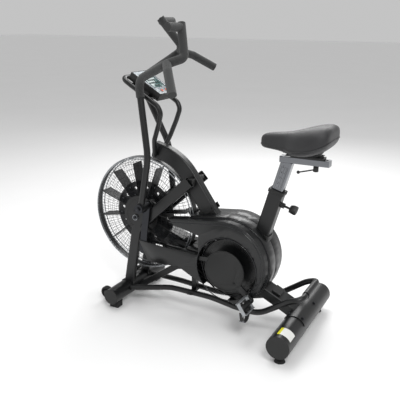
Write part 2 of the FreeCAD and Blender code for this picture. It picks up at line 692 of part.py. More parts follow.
def drive_belt():
    """Flat ribbed belt round the two pulleys, one closed band."""
    y0, y1 = BELT_Y - BELT_WIDTH / 2, BELT_Y + BELT_WIDTH / 2
    return belt_loop(BODY_GAP + BELT_THICK, y0, y1).cut(belt_loop(BODY_GAP, y0 - 1, y1 + 1))


def belt_loop(extra, y0, y1):
    """Solid inside the loop whose line stands extra outside both pulleys."""
    dx, dz = FAN_X - CRANK_X, FAN_Z - CRANK_Z
    span = hypot(dx, dz)
    lean = atan2(dz, dx)
    big, small = PULLEY_R + extra, FAN_PULLEY_R + extra
    open_angle = pi / 2 - atan2(big - small, sqrt(span ** 2 - (big - small) ** 2))

    def rim(cx, cz, r, angle):
        return V(cx + r * cos(angle), y0, cz + r * sin(angle))

    top_big = rim(CRANK_X, CRANK_Z, big, lean + open_angle)
    low_big = rim(CRANK_X, CRANK_Z, big, lean - open_angle)
    top_small = rim(FAN_X, FAN_Z, small, lean + open_angle)
    low_small = rim(FAN_X, FAN_Z, small, lean - open_angle)
    edges = [Part.LineSegment(top_big, top_small).toShape(),
             Part.Arc(top_small, rim(FAN_X, FAN_Z, small, lean), low_small).toShape(),
             Part.LineSegment(low_small, low_big).toShape(),
             Part.Arc(low_big, rim(CRANK_X, CRANK_Z, big, lean + pi), top_big).toShape()]
    return Part.Face(Part.Wire(edges)).extrude(V(0, y1 - y0, 0))


def pedal_place(side):
    """Centre of a pedal spindle and the Y where its cage starts."""
    angle = CRANK_ANGLE if side > 0 else CRANK_ANGLE + 180
    px, pz = at_crank(angle, CRANK_LENGTH)
    return px, pz, ARM_Y + ARM_THICK / 2 + 9


def pedal_spindle(side):
    px, pz, y0 = pedal_place(1)
    bar = rod_y(px, pz, SPINDLE_R, ARM_Y - ARM_THICK / 2, y0 + PEDAL_WIDTH - 6)
    collar = rod_y(px, pz, 9, ARM_Y + ARM_THICK / 2, y0 - BODY_GAP)
    spindle = joined([bar, collar])
    return spindle if side > 0 else right_crank(spindle)


def pedal(side):
    """Pedal body with an open toothed cage round it."""
    px, pz, y0 = pedal_place(1)
    y1 = y0 + PEDAL_WIDTH
    half, thick = PEDAL_LENGTH / 2, PEDAL_THICK / 2
    barrel = rod_y(px, pz, 13, y0, y1)
    frame = block(px - half, px + half, y0, y1, pz - thick, pz + thick)
    hollow = block(px - half + 4, px + half - 4, y0 + 4, y1 - 4, pz - thick - 1, pz + thick + 1)
    ribs = [block(px - half, px + half, y, y + 6, pz - 5, pz + 5) for y in (y0 + 24, y1 - 30)]
    body = joined([frame.cut(hollow), barrel] + ribs)
    body = body.cut(rod_y(px, pz, SPINDLE_R + RUN_GAP, 0, y1 - 5))
    body = turned(body, px, pz, PEDAL_TILT)
    if side > 0:
        return body
    qx, qz, _ = pedal_place(-1)
    other = mirrored(body)
    other.translate(V(qx - px, 0, qz - pz))
    return other


def pedal_strap(side):
    """Toe strap: a band that loops from one side of the cage to the other."""
    px, pz, y0 = pedal_place(side)
    y_in, y_out = y0 + 4, y0 + PEDAL_WIDTH - 4
    mid = (y_in + y_out) / 2
    drop, half, thick = 52.0, 10.0, 2.5
    base = 17.0
    wide = (y_out - y_in) / 2

    def arch(r, y_r):
        one = V(px - half, mid - y_r, pz - base)
        two = V(px - half, mid, pz - base - r)
        three = V(px - half, mid + y_r, pz - base)
        edges = [Part.Arc(one, two, three).toShape(), Part.LineSegment(three, one).toShape()]
        return Part.Face(Part.Wire(edges)).extrude(V(2 * half, 0, 0))

    band = arch(drop, wide).cut(arch(drop - thick, wide - thick))
    band = band.cut(block(px - 60, px + 60, 0, 400, pz - base, pz + base))
    strap = max(band.Solids, key=lambda s: s.Volume)
    strap = joined([strap])
    return strap if side > 0 else mirrored(strap)


# ---------------------------------------------------------------- fan group
def fan_axle():
    half = FORK_Y + FORK_WIDTH / 2 + AXLE_PLATE + 12
    bar = rod_y(FAN_X, FAN_Z, FAN_AXLE_R, -half, half)
    nuts = []
    for side in (-1, 1):
        y0 = side * (FORK_Y + FORK_WIDTH / 2 + AXLE_PLATE)
        y1 = y0 + side * 8
        nuts.append(rod_y(FAN_X, FAN_Z, 14, min(y0, y1), max(y0, y1)))
    return joined([bar] + nuts)


def fan_bearings():
    rings = []
    for side in (-1, 1):
        y1, y0 = side * 30, side * 20
        rings.append(tube_y(FAN_X, FAN_Z, FAN_HUB_R - 6, FAN_AXLE_R + RUN_GAP, min(y0, y1), max(y0, y1)))
    return group(rings)


def fan_rotor():
    """Hub, perforated disc and flat paddles in one turning piece."""
    hub = rod_y(FAN_X, FAN_Z, FAN_HUB_R, -30, 30)
    disc = rod_y(FAN_X, FAN_Z, ROTOR_DISC_R, -2, 2)
    paddles = []
    for i in range(BLADES):
        paddle = block(FAN_X + 60, FAN_X + BLADE_TIP_R, -BLADE_HALF, BLADE_HALF, FAN_Z - 1.5, FAN_Z + 1.5)
        paddles.append(turned(paddle, FAN_X, FAN_Z, 360.0 * i / BLADES + 10))
    rotor = joined([hub, disc] + paddles)
    for i in range(BLADES):
        a = radians(360.0 * (i + 0.5) / BLADES - 10)
        rotor = rotor.cut(rod_y(FAN_X + 128 * cos(a), FAN_Z + 128 * sin(a), 7, -20, 20))
    bore = rod_y(FAN_X, FAN_Z, FAN_AXLE_R + 3, -60, 60)
    seats = [tube_y(FAN_X, FAN_Z, FAN_HUB_R - 6, 1, min(s * 20, s * 31), max(s * 20, s * 31))
             for s in (-1, 1)]
    return rotor.cut(bore).cut(group(seats))


def fan_pulley():
    y0, y1 = BELT_Y - BELT_WIDTH / 2 - 0.5, BELT_Y + BELT_WIDTH / 2 + 0.5
    wheel = rod_y(FAN_X, FAN_Z, FAN_PULLEY_R, y0, y1)
    sleeve = rod_y(FAN_X, FAN_Z, 16, 30, y0)
    return joined([wheel, sleeve]).cut(rod_y(FAN_X, FAN_Z, FAN_AXLE_R + 3, 0, 90))


def cage_band():
    """Flat steel hoop round the fan, between the two wire guards."""
    return tube_y(FAN_X, FAN_Z, CAGE_R, CAGE_R - BAND_THICK, -BAND_HALF, BAND_HALF)


def ring_at(r, y, size):
    half = size / 2
    return tube_y(FAN_X, FAN_Z, r + half, r - half, y - half, y + half)


def left_wire_guard():
    """Dished guard of round rings and bent spokes."""
    lip = BAND_HALF + 2
    flat_r = CAGE_R - 22
    parts = [ring_at(CAGE_R - 2, lip, 4), ring_at(flat_r, CAGE_HALF - WIRE / 2, WIRE),
             ring_at(210, CAGE_HALF - WIRE / 2, WIRE), ring_at(160, CAGE_HALF - WIRE / 2, WIRE),
             tube_y(FAN_X, FAN_Z, GUARD_HUB_R, 40, CAGE_HALF - WIRE, CAGE_HALF)]
    for i in range(SPOKES):
        spoke = spoke_bar(flat_r, lip)
        parts.append(turned(spoke, FAN_X, FAN_Z, 360.0 * i / SPOKES))
    return joined(parts + [cage_clip()])


def spoke_bar(flat_r, lip):
    """Square wire from the hub plate out along the face, then back to the lip ring."""
    outline = [(GUARD_HUB_R - 4, CAGE_HALF), (flat_r, CAGE_HALF), (CAGE_R, lip + 1), (CAGE_R, lip - 1),
               (CAGE_R - WIRE, lip - 1), (CAGE_R - WIRE, lip + 0.5),
               (flat_r - 1, CAGE_HALF - WIRE), (GUARD_HUB_R - 4, CAGE_HALF - WIRE)]
    wire = Part.makePolygon([V(FAN_X + r, y, FAN_Z - WIRE / 2) for r, y in outline + outline[:1]])
    return Part.Face(wire).extrude(V(0, 0, WIRE))


def cage_clip():
    """Stand-off that holds a guard's hub plate to its fork tube."""
    ring = tube_y(FAN_X, FAN_Z, 76, 64, CAGE_HALF, FORK_Y - FORK_WIDTH / 2)
    return ring.common(block(FAN_X - 12, FAN_X + 30, 0, 90, FAN_Z - 90, FAN_Z - 38))


# ---------------------------------------------------------------- arms and links
def pivot_housing(side):
    """Bearing tube for an arm shaft on top of a fork tube, with its gusset."""
    y0, y1 = FORK_Y - FORK_WIDTH / 2, FORK_Y + FORK_WIDTH / 2 + 4
    barrel = rod_y(PIVOT_X, PIVOT_Z, HOUSING_R, y0, y1)
    gusset = prism_y([(PIVOT_X - 60, PIVOT_Z - 12), (PIVOT_X - 8, PIVOT_Z + 20),
                      (PIVOT_X + 20, PIVOT_Z - 4), (PIVOT_X + 14, PIVOT_Z - 60)], FORK_Y - 4, FORK_Y + 4)
    body = joined([barrel, gusset]).cut(rod_y(PIVOT_X, PIVOT_Z, SHAFT_R + 4, 0, 200))
    body = body.cut(rect_bar(fork_points(), [95.0], FORK_DEPTH, FORK_WIDTH, 5, FORK_Y))
    body = max(body.Solids, key=lambda s: s.Volume)
    return body if side > 0 else mirrored(body)


def pivot_housings():
    return group([pivot_housing(side) for side in (1, -1)])


def pivot_bushes():
    """Bronze bushes in the pivot housings."""
    y0, y1 = FORK_Y - FORK_WIDTH / 2, FORK_Y + FORK_WIDTH / 2 + 4
    bush = tube_y(PIVOT_X, PIVOT_Z, SHAFT_R + 4, SHAFT_R + RUN_GAP, y0, y1)
    return group([bush, mirrored(bush)])


def arm_points():
    """Vertices of the left arm: boss, knee, bar corner, junction, grip corner, tip."""
    return [V(PIVOT_X, ARM_TUBE_Y, PIVOT_Z), V(355, 145, 759), V(413, 120, 1093),
            V(212, 212, 1174), V(165, 150, 1196), V(208, 101, 1327)]


def arm_path(first, last):
    """Part of the arm's path, from one vertex to another, and its radii."""
    radii = [250.0, 55.0, 34.0, 26.0]
    points = arm_points()[first:last + 1]
    return points, radii[first:last - 1]


def left_arm():
    """Bent steel arm tube welded to its pivot boss, with the outer grip's core."""
    points, radii = arm_path(0, 5)
    tube = round_tube(points, radii, ARM_TUBE_R, 2.0)
    y0, y1 = ARM_TUBE_Y - 19, ARM_TUBE_Y + 19
    boss = rod_y(PIVOT_X, PIVOT_Z, BOSS_R, y0, y1)
    core = round_bar(outer_grip_points(), [30.0], GRIP_CORE_R)
    stub = round_bar(stub_points(), [], GRIP_CORE_R)
    arm = joined([tube.cut(rod_y(PIVOT_X, PIVOT_Z, BOSS_R - 1, y0, y1)), boss, core, stub])
    return arm.cut(rod_y(PIVOT_X, PIVOT_Z, SHAFT_R, y0 - 1, y1 + 1))


def outer_grip_points():
    junction = arm_points()[3]
    return [junction, V(176, 262, 1146), V(116, 332, 1071)]


def stub_points():
    tip = arm_points()[5]
    return [tip - V(2, 0, 12), tip + V(4, 100, -10)]


def left_foam():
    """Foam sleeves over the bar, the outer grip and the top stub."""
    points = arm_points()
    knee, corner = points[1], points[2]
    start = corner + (knee - corner).normalize() * 75
    bar = round_bar([start] + points[2:], [55.0, 34.0, 26.0], FOAM_R)
    end = outer_grip_points()
    grip = round_bar(end, [30.0], FOAM_R)
    stub = round_bar(stub_points(), [], FOAM_R)
    foam = joined([bar, grip, stub])
    core, radii = arm_path(0, 5)
    foam = foam.cut(round_bar(core, radii, ARM_TUBE_R + RUN_GAP))
    foam = foam.cut(round_bar(end, [30.0], GRIP_CORE_R + RUN_GAP))
    foam = foam.cut(round_bar(stub_points(), [], GRIP_CORE_R + RUN_GAP))
    foam = foam.cut(foam_joints())
    return group([s for s in foam.Solids if s.Volume > FOAM_SCRAP])


def foam_joints():
    """Thin slices that part the foam into separate sleeves next to its junctions."""
    points = arm_points()
    grip, stub = outer_grip_points(), stub_points()
    spots = [(points[3], points[4], 0.5), (grip[0], grip[1], 0.6), (stub[0], stub[1], 0.25)]
    slices = []
    for one, two, share in spots:
        along = two - one
        slices.append(Part.makeCylinder(FOAM_R + 2, FOAM_SEAM, one + along * share, along))
    return group(slices)


def grip_cap(point, along):
    return Part.makeCylinder(FOAM_R, 4, point, along.normalize())


def left_grip_caps():
    """Round plastic plugs on the ends of the grips."""
    grip = outer_grip_points()
    bar = arm_points()
    stub = stub_points()
    top = grip_cap(bar[-1], bar[-1] - bar[-2]).cut(round_bar(stub, [], GRIP_CORE_R + RUN_GAP))
    return group([grip_cap(grip[-1], grip[-1] - grip[-2]), grip_cap(stub[-1], stub[-1] - stub[-2]), top])


def left_arm_shaft():
    """Shaft through the pivot housing, with its spacer and outer washer."""
    inner = FORK_Y - FORK_WIDTH / 2 - 3
    shaft = rod_y(PIVOT_X, PIVOT_Z, SHAFT_R, inner, ARM_TUBE_Y + 22)
    spacer = rod_y(PIVOT_X, PIVOT_Z, 17, LEVER_Y + LEVER_THICK / 2, ARM_TUBE_Y - 19)
    washer = rod_y(PIVOT_X, PIVOT_Z, BOSS_R - 3, ARM_TUBE_Y + 19, ARM_TUBE_Y + 24)
    retainer = rod_y(PIVOT_X, PIVOT_Z, 15, inner - 4, inner)
    return joined([shaft, spacer, washer, retainer])


def lever_pin():
    """Centre of the lower lever pin of the left arm at rest."""
    a = radians(SWING / 2)
    return PIVOT_X + LEVER_LENGTH * sin(a), PIVOT_Z - LEVER_LENGTH * cos(a)


def flat_link(a, b, width, y0, y1):
    """Flat bar with round ends between two points of the XZ plane."""
    dx, dz = b[0] - a[0], b[1] - a[1]
    run = hypot(dx, dz)
    nx, nz = -dz / run * width / 2, dx / run * width / 2
    web = prism_y([(a[0] + nx, a[1] + nz), (b[0] + nx, b[1] + nz), (b[0] - nx, b[1] - nz),
                   (a[0] - nx, a[1] - nz)], y0, y1)
    return joined([web, rod_y(a[0], a[1], width / 2, y0, y1), rod_y(b[0], b[1], width / 2, y0, y1)])


def left_lever():
    """Flat lever below the pivot, with the pin that carries the drive rod."""
    pin = lever_pin()
    y0, y1 = LEVER_Y - LEVER_THICK / 2, LEVER_Y + LEVER_THICK / 2
    bar = flat_link((PIVOT_X, PIVOT_Z), pin, LEVER_WIDTH, y0, y1)
    bar = bar.cut(rod_y(PIVOT_X, PIVOT_Z, SHAFT_R, y0 - 1, y1 + 1))
    stub = rod_y(pin[0], pin[1], LINK_PIN_R, ROD_Y - ROD_THICK / 2 - 2, y0)
    return joined([bar, stub])


def rod_end(side):
    """Open end of a drive rod at rest, over the crank's link pin."""
    angle = CRANK_ANGLE + 180 if side > 0 else CRANK_ANGLE
    return at_crank(angle, ECCENTRIC_R)


def drive_rod(side):
    """Flat link from the arm's lever back to the crank."""
    pin = lever_pin()
    if side < 0:
        a = radians(-SWING / 2)
        pin = (PIVOT_X + LEVER_LENGTH * sin(a), PIVOT_Z - LEVER_LENGTH * cos(a))
    y0, y1 = ROD_Y - ROD_THICK / 2, ROD_Y + ROD_THICK / 2
    far = rod_end(side)
    run = hypot(far[0] - pin[0], far[1] - pin[1])
    far = (pin[0] + (far[0] - pin[0]) * ROD_LENGTH / run, pin[1] + (far[1] - pin[1]) * ROD_LENGTH / run)
    bar = flat_link(pin, far, ROD_WIDTH, y0, y1)
    bar = bar.cut(rod_y(pin[0], pin[1], LINK_PIN_R + RUN_GAP, y0 - 1, y1 + 1))
    bar = bar.cut(rod_y(far[0], far[1], ECCENTRIC_PIN_R + 1, y0 - 1, y1 + 1))
    return bar if side > 0 else mirrored(bar)


def right_arm_piece(shape):
    """Mirror a left arm piece and swing it forward by the angle between the arms."""
    return turned(mirrored(shape), PIVOT_X, PIVOT_Z, SWING)


# ---------------------------------------------------------------- console
def console_points():
    base, along, up = console_frame()
    bar = [base + along * u + up * 7 for u in (-22, 196)]
    half = [(392, 30, 742), (368, 70, 822), (340, 78, 893), (322, 84, 950)]
    half += [(p.x, CONSOLE_TUBE_Y, p.z) for p in bar]
    left = [V(x, y, z) for x, y, z in half]
    return left + [V(p.x, -p.y, p.z) for p in reversed(left)]


def console_loop():
    """Thin round tube hoop that carries the console above the backbone."""
    hoop = round_tube(console_points(), CONSOLE_BENDS, CONSOLE_TUBE_R, 2.0)
    return hoop.cut(rect_bar(backbone_points(), [250.0], BACKBONE_DEPTH, BACKBONE_WIDTH, 8))


def console_frame():
    """Origin, slope direction and normal of the console's face."""
    a = radians(CONSOLE_SLOPE)
    return V(CONSOLE_X, 0, CONSOLE_Z), V(cos(a), 0, sin(a)), V(-sin(a), 0, cos(a))


def console_slab(u0, u1, n0, n1, half):
    base, along, up = console_frame()
    corners = [base + along * u + up * n for u, n in ((u0, n0), (u1, n0), (u1, n1), (u0, n1))]
    wire = Part.makePolygon([c - Y_AXIS * half for c in corners + corners[:1]])
    return Part.Face(wire).extrude(Y_AXIS * (2 * half))


def console_case():
    """Moulded housing of the console."""
    case = console_slab(0, CONSOLE_LENGTH, 14, 50, CONSOLE_HALF)
    window = console_slab(SCREEN_U0, SCREEN_U1, 45, 51, SCREEN_HALF)
    lens_seat = console_slab(4, CONSOLE_LENGTH - 4, 47, 51, CONSOLE_HALF - 5)
    case = case.cut(lens_seat).cut(window)
    for side in (1, -1):
        spot, up = button_spot(side, 30)
        case = case.cut(Part.makeCylinder(BUTTON_R + BUTTON_GAP, 30, spot, up))
    return case


def button_spot(side, height):
    """Foot of a console button's axis at a height over the base, and its direction."""
    base, along, up = console_frame()
    return base + along * 24 + up * height + Y_AXIS * (side * 18), up


def console_face():
    """Pale front sheet round the display."""
    sheet = console_slab(4.3, CONSOLE_LENGTH - 4.3, 47, 50, CONSOLE_HALF - 5.3)
    sheet = sheet.cut(console_slab(SCREEN_U0, SCREEN_U1, 40, 60, SCREEN_HALF))
    for side in (1, -1):
        spot, up = button_spot(side, 30)
        sheet = sheet.cut(Part.makeCylinder(BUTTON_R + BUTTON_GAP, 40, spot, up))
    return sheet


def console_screen():
    return console_slab(SCREEN_U0 + 0.2, SCREEN_U1 - 0.2, 45, 49, SCREEN_HALF - 0.2)


def console_button(side):
    spot, up = button_spot(side, 33)
    return Part.makeCylinder(BUTTON_R, 19.5, spot, up)


def console_bracket():
    """Plates under the console that clamp it to the hoop."""
    plates = [console_slab(u, u + 22, 0, 14, 96) for u in (30, 124)]
    loop = round_bar(console_points(), CONSOLE_BENDS, CONSOLE_TUBE_R)
    return group([p.cut(loop) for p in plates])


# ---------------------------------------------------------------- saddle group
def seat_post():
    """Chromed rectangular post with height notches down its back."""
    post = rect_bar([on_seat_axis(430), on_seat_axis(POST_TOP_Z + 4)], [], POST_DEPTH, POST_WIDTH, 4)
    bore = rect_bar([on_seat_axis(420), on_seat_axis(POST_TOP_Z + 9)], [], POST_DEPTH - 5,
                    POST_WIDTH - 5, 2)
    post = post.cut(bore).cut(slider_solid(0))
    base, back = pin_axis()
    a = radians(SEAT_ANGLE)
    along = V(-sin(a), 0, cos(a))
    for i in range(-6, 4):
        centre = base + along * (i * 25.0)
        post = post.cut(Part.makeCylinder(5.2, 14, centre - back * (SEAT_DEPTH / 2 - POST_DEPTH / 2 + 9), back))
    return max(post.Solids, key=lambda s: s.Volume)


def post_foot():
    """Plastic guide plug in the foot of the post."""
    return rect_bar([on_seat_axis(426), on_seat_axis(430)], [], POST_DEPTH, POST_WIDTH, 4)


def slider_solid(shrink):
    z0 = POST_TOP_Z
    return block(SLIDER_REAR + shrink, SLIDER_FRONT - shrink, -SLIDER_WIDTH / 2 + shrink,
                 SLIDER_WIDTH / 2 - shrink, z0 + shrink, z0 + SLIDER_HEIGHT - shrink)


def slider_rail():
    """Chromed rectangular rail on the post, slotted underneath for the clamp screw."""
    outer = slider_solid(0)
    outer = outer.makeFillet(2.0, [e for e in outer.Edges if e.BoundBox.XLength > 150])
    z0 = POST_TOP_Z
    bore = block(SLIDER_REAR + 3, SLIDER_FRONT - 3, -SLIDER_WIDTH / 2 + 2.5, SLIDER_WIDTH / 2 - 2.5,
                 z0 + 2.5, z0 + SLIDER_HEIGHT - 2.5)
    slot = block(CLAMP_X - 50, CLAMP_X + 25, -6, 6, z0 - 1, z0 + SLIDER_HEIGHT + 1)
    return outer.cut(bore).cut(slot)


def saddle_bracket():
    """Steel shoe on the rail, the saddle's base plate and the fixed clamp screw sleeve."""
    z1 = POST_TOP_Z + SLIDER_HEIGHT + BODY_GAP
    shoe = block(CLAMP_X - 34, CLAMP_X + 100, -24, 24, z1, z1 + 8)
    plate = block(SADDLE_FRONT - 262, SADDLE_FRONT - 120, -40, 40, z1 + 8, z1 + 12)
    sleeve = Part.makeCylinder(5.4, SLIDER_HEIGHT + 5, V(CLAMP_X, 0, z1 - SLIDER_HEIGHT - 3))
    hole = Part.makeCylinder(CLAMP_SCREW_R + RUN_GAP, 60, V(CLAMP_X, 0, z1 - 45))
    return joined([shoe, plate, sleeve]).cut(hole)


def clamp_lever():
    """Clamp screw with its barrel nut and ball-ended handle under the rail."""
    z0 = POST_TOP_Z - 4.5
    screw = Part.makeCylinder(CLAMP_SCREW_R, 34, V(CLAMP_X, 0, z0 - 2))
    barrel = Part.makeCylinder(11, 22, V(CLAMP_X, 0, z0 - 22))
    end = V(CLAMP_X + 62, 36, z0 - 24)
    start = V(CLAMP_X, 0, z0 - 13)
    stem = Part.makeCylinder(3, (end - start).Length, start, (end - start).normalize())
    ball = Part.makeSphere(7, end)
    return joined([screw, barrel, stem, ball])


def saddle_outline():
    """Half-widths of the saddle along its length, nose first: (distance, half width)."""
    half = SADDLE_WIDTH / 2
    return [(0, 20), (30, 33), (95, 42), (160, 66), (220, half - 8), (275, half),
            (SADDLE_LENGTH - 12, half - 22), (SADDLE_LENGTH, half - 62)]


def saddle():
    """Plain closed cushion with the saddle's plan and side outlines."""
    plan = saddle_outline()
    front = SADDLE_FRONT
    left = [V(front - d, w, 0) for d, w in plan]
    points = left + [V(p.x, -p.y, 0) for p in reversed(left)]
    wire = Part.makePolygon(points + points[:1])
    tower = Part.Face(wire).extrude(V(0, 0, 1200))
    side = [(front, 846), (front - 8, 880), (front - 35, 893), (front - 120, 908), (front - 190, 924),
            (front - 255, 944), (front - 300, 950), (front - 318, 942), (front - SADDLE_LENGTH, 890),
            (front - 300, 862), (front - 230, 830), (front - 165, SADDLE_BASE_Z + 1),
            (front - 120, 826), (front - 95, 840)]
    body = prism_y(side, -200, 200)
    cushion = tower.common(body)
    z1 = POST_TOP_Z + SLIDER_HEIGHT + BODY_GAP + 12
    base = block(front - 262, front - 120, -40, 40, z1, SADDLE_BASE_Z + 40)
    keep = cushion.fuse(base).removeSplitter()
    under = block(front - 400, front + 20, -200, 200, z1 - 60, z1)
    return keep.cut(under)


def seat_pin():
    """Spring pull pin with a lobed knob."""
    base, back = pin_axis()
    reach = (SEAT_DEPTH - POST_DEPTH) / 2 - BODY_GAP
    shaft = Part.makeCylinder(5.0, 48 + reach, base - back * reach, back)
    knob = Part.makeCylinder(17.0, 24, base + back * 44, back)
    a = radians(SEAT_ANGLE)
    side = V(-sin(a), 0, cos(a))
    for i in range(6):
        angle = 2 * pi * i / 6
        spot = base + back * 42 + side * (20 * cos(angle)) + Y_AXIS * (20 * sin(angle))
        knob = knob.cut(Part.makeCylinder(5.5, 30, spot, back))
    return joined([shaft, knob])


# ---------------------------------------------------------------- output
def frame_parts():
    """Fixed frame and what is bolted or welded to it."""
    return {
        "rear_stabiliser": joined([rear_stabiliser(), foot_nut(1), foot_nut(-1)]),
        "front_stabiliser": joined([front_stabiliser(), wheel_bracket(1), wheel_bracket(-1)]),
        "end_caps": end_caps(), "front_feet": front_feet(),
        "rear_beam": joined([rear_beam(), rear_saddle(), beam_top_block()]),
        "keel_tube": joined([keel_tube(), crank_shell(), rail_bracket()]),
        "crank_bearings": crank_bearings(), "backbone": backbone(),
        "backbone_fittings": group([backbone_end_plug(), foot_brackets(), fork_spacer()]),
        "left_fork": joined([fork(1), fork_saddle(1), axle_plate(1)]),
        "right_fork": joined([fork(-1), fork_saddle(-1), axle_plate(-1)]),
        "rail_hoop": group([rail_hoop(), lift_sleeve()]),
        "seat_tube": joined([seat_tube(), pin_boss()]), "seat_bush": seat_bush(),
        "seat_collar": seat_collar(), "seat_boot": seat_boot(),
        "left_casing": left_casing(), "right_casing": mirrored(left_casing()),
        "pivot_housings": group([pivot_housings(), pivot_bushes()]),
        "fan_axle": fan_axle(), "cage_band": cage_band(),
        "left_wire_guard": left_wire_guard(), "right_wire_guard": mirrored(left_wire_guard()),
        "drive_belt": drive_belt(),
    }


def console_parts():
    return {
        "console_loop": group([console_loop(), console_bracket()]), "console_case": console_case(),
        "console_face": console_face(), "console_screen": console_screen(),
        "start_button": console_button(1), "mode_button": console_button(-1),
    }


def drive_parts():
    """Crank set, pedals and fan."""
    return {
        "crank_axle": crank_axle(), "drive_pulley": drive_pulley(),
        "left_crank_arm": left_crank_arm(), "right_crank_arm": right_crank(left_crank_arm()),
        "left_crank_cover": left_crank_cover(), "right_crank_cover": right_crank(left_crank_cover()),
        "pedal_spindles": group([pedal_spindle(1), pedal_spindle(-1)]),
        "left_pedal": group([pedal(1), pedal_strap(1)]), "right_pedal": group([pedal(-1), pedal_strap(-1)]),
        "fan_rotor": fan_rotor(), "fan_bearings": fan_bearings(), "fan_pulley": fan_pulley(),
    }


def arm_parts():
    """Both handle arms with their shafts, levers and drive rods."""
    left = {"arm": left_arm(), "foam": group([left_foam(), left_grip_caps()]),
            "arm_shaft": joined([left_arm_shaft(), left_lever()])}
    parts = {"left_drive_rod": drive_rod(1), "right_drive_rod": drive_rod(-1)}
    for name, shape in left.items():
        parts["left_" + name] = shape
        parts["right_" + name] = right_arm_piece(shape)
    return parts


def seat_parts():
    return {
        "seat_post": group([seat_post(), post_foot()]), "slider_rail": slider_rail(),
        "saddle_bracket": saddle_bracket(), "saddle": saddle(), "clamp_lever": clamp_lever(),
        "seat_pin": seat_pin(),
    }


def ground_parts():
    return {
        "left_foot": levelling_foot(1), "right_foot": levelling_foot(-1),
        "left_wheel": transport_wheel(1), "right_wheel": transport_wheel(-1),
    }


def export_all():
    os.makedirs("parts", exist_ok=True)
    for make in (frame_parts, console_parts, drive_parts, arm_parts, seat_parts, ground_parts):
        for name, shape in make().items():
            shape.translate(V(-ORIGIN_X, 0, 0))
            if not shape.isValid() or not shape.Solids:
                print("faulty shape:", name, len(shape.Solids))
            shape.exportStep("parts/" + name + ".step")


export_all()
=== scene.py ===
"""Air bike: the finished looks of the machine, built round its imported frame."""

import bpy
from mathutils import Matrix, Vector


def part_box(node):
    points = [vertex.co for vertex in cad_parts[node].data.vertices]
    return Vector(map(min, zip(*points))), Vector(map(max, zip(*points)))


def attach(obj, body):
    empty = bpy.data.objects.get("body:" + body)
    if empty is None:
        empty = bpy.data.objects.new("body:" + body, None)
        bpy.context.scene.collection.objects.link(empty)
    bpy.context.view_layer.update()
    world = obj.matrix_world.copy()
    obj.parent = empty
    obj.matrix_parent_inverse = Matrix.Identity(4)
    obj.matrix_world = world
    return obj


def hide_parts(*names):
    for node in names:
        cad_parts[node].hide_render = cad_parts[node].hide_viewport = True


bl_info = {
    "name": "Air Bike Builder",
    "version": (1, 0, 0),
    "blender": (4, 5, 0),
    "location": "View3D > Sidebar > Air Bike",
    "description": "Builds an air bike's finishes, guards, saddle, pedals and fittings round its frame",
    "category": "Object",
}

from math import cos, exp, pi, radians, sin

import bmesh
import bpy
from bpy.props import FloatProperty, FloatVectorProperty, IntProperty, PointerProperty
from mathutils import Matrix, Vector

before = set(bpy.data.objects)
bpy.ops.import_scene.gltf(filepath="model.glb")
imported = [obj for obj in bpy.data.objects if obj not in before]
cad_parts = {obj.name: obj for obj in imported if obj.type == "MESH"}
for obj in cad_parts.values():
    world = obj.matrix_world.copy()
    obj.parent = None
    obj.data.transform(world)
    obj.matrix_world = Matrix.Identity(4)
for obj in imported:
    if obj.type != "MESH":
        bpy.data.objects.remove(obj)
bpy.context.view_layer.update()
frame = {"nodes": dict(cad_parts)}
CAD = frame["nodes"]


# ---- places
def middle(node):
    """Middle of a CAD node's box, in metres."""
    low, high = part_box(node)
    return (low + high) / 2


FAN = middle("cage_band")
CRANK = middle("crank_axle")
FAN_BIKE_X = 469.0        # the fan's X in bike coordinates, in which the route points below are written
SHIFT = FAN_BIKE_X - FAN.x * 1000
COLLAR = (-209.1015, 657.0)   # X and Z of the post's axis at its collar, in bike coordinates
SADDLE_NOSE_X = -126.0        # in bike coordinates
SEAT_LEAN = radians(16)
CONSOLE_TILT = radians(31)
PEDAL_TILT = radians(-56)
CRANK_LENGTH = 0.172


def bike(x, y, z):
    """Point from bike coordinates in millimetres to the row frame in metres."""
    return Vector(((x - SHIFT) / 1000, y / 1000, z / 1000))


def about(centre, radius, angle, y):
    """Point at an angle round the Y axis through centre."""
    return Vector((centre.x + radius * cos(angle), y, centre.z + radius * sin(angle)))


def ring_points(centre, radius, y, count=72):
    """Points evenly round the Y axis through centre."""
    return [about(centre, radius, 2 * pi * i / count, y) for i in range(count)]


# ---- colours and nodes
def linear(text):
    """Linear colour from an sRGB hex value."""
    values = [int(text[i:i + 2], 16) / 255 for i in (1, 3, 5)]
    return [v / 12.92 if v <= 0.04045 else ((v + 0.055) / 1.055) ** 2.4 for v in values] + [1.0]


def add(tree, kind, props=None, values=None, links=None):
    """Adds one node with its settings and values; a link from a node takes its first output."""
    made = tree.nodes.new(kind)
    for key, value in (props or {}).items():
        setattr(made, key, value)
    for key, value in (values or {}).items():
        made.inputs[key].default_value = value
    for key, source in (links or {}).items():
        if isinstance(source, bpy.types.Node):
            source = source.outputs[0]
        tree.links.new(source, made.inputs[key])
    return made


def start_finish(name, colour, roughness, **more):
    """New material with one shader; returns it with its tree, shader and place on the object."""
    made = bpy.data.materials.new(name)
    made.use_nodes = True
    tree = made.node_tree
    tree.nodes.clear()
    shader = add(tree, "ShaderNodeBsdfPrincipled", values={
        "Base Color": colour, "Roughness": roughness, **{k.replace("_", " "): v for k, v in more.items()}})
    add(tree, "ShaderNodeOutputMaterial", links={"Surface": shader.outputs["BSDF"]})
    place = add(tree, "ShaderNodeTexCoord").outputs["Object"]
    made.diffuse_color = colour
    return made, tree, shader, place


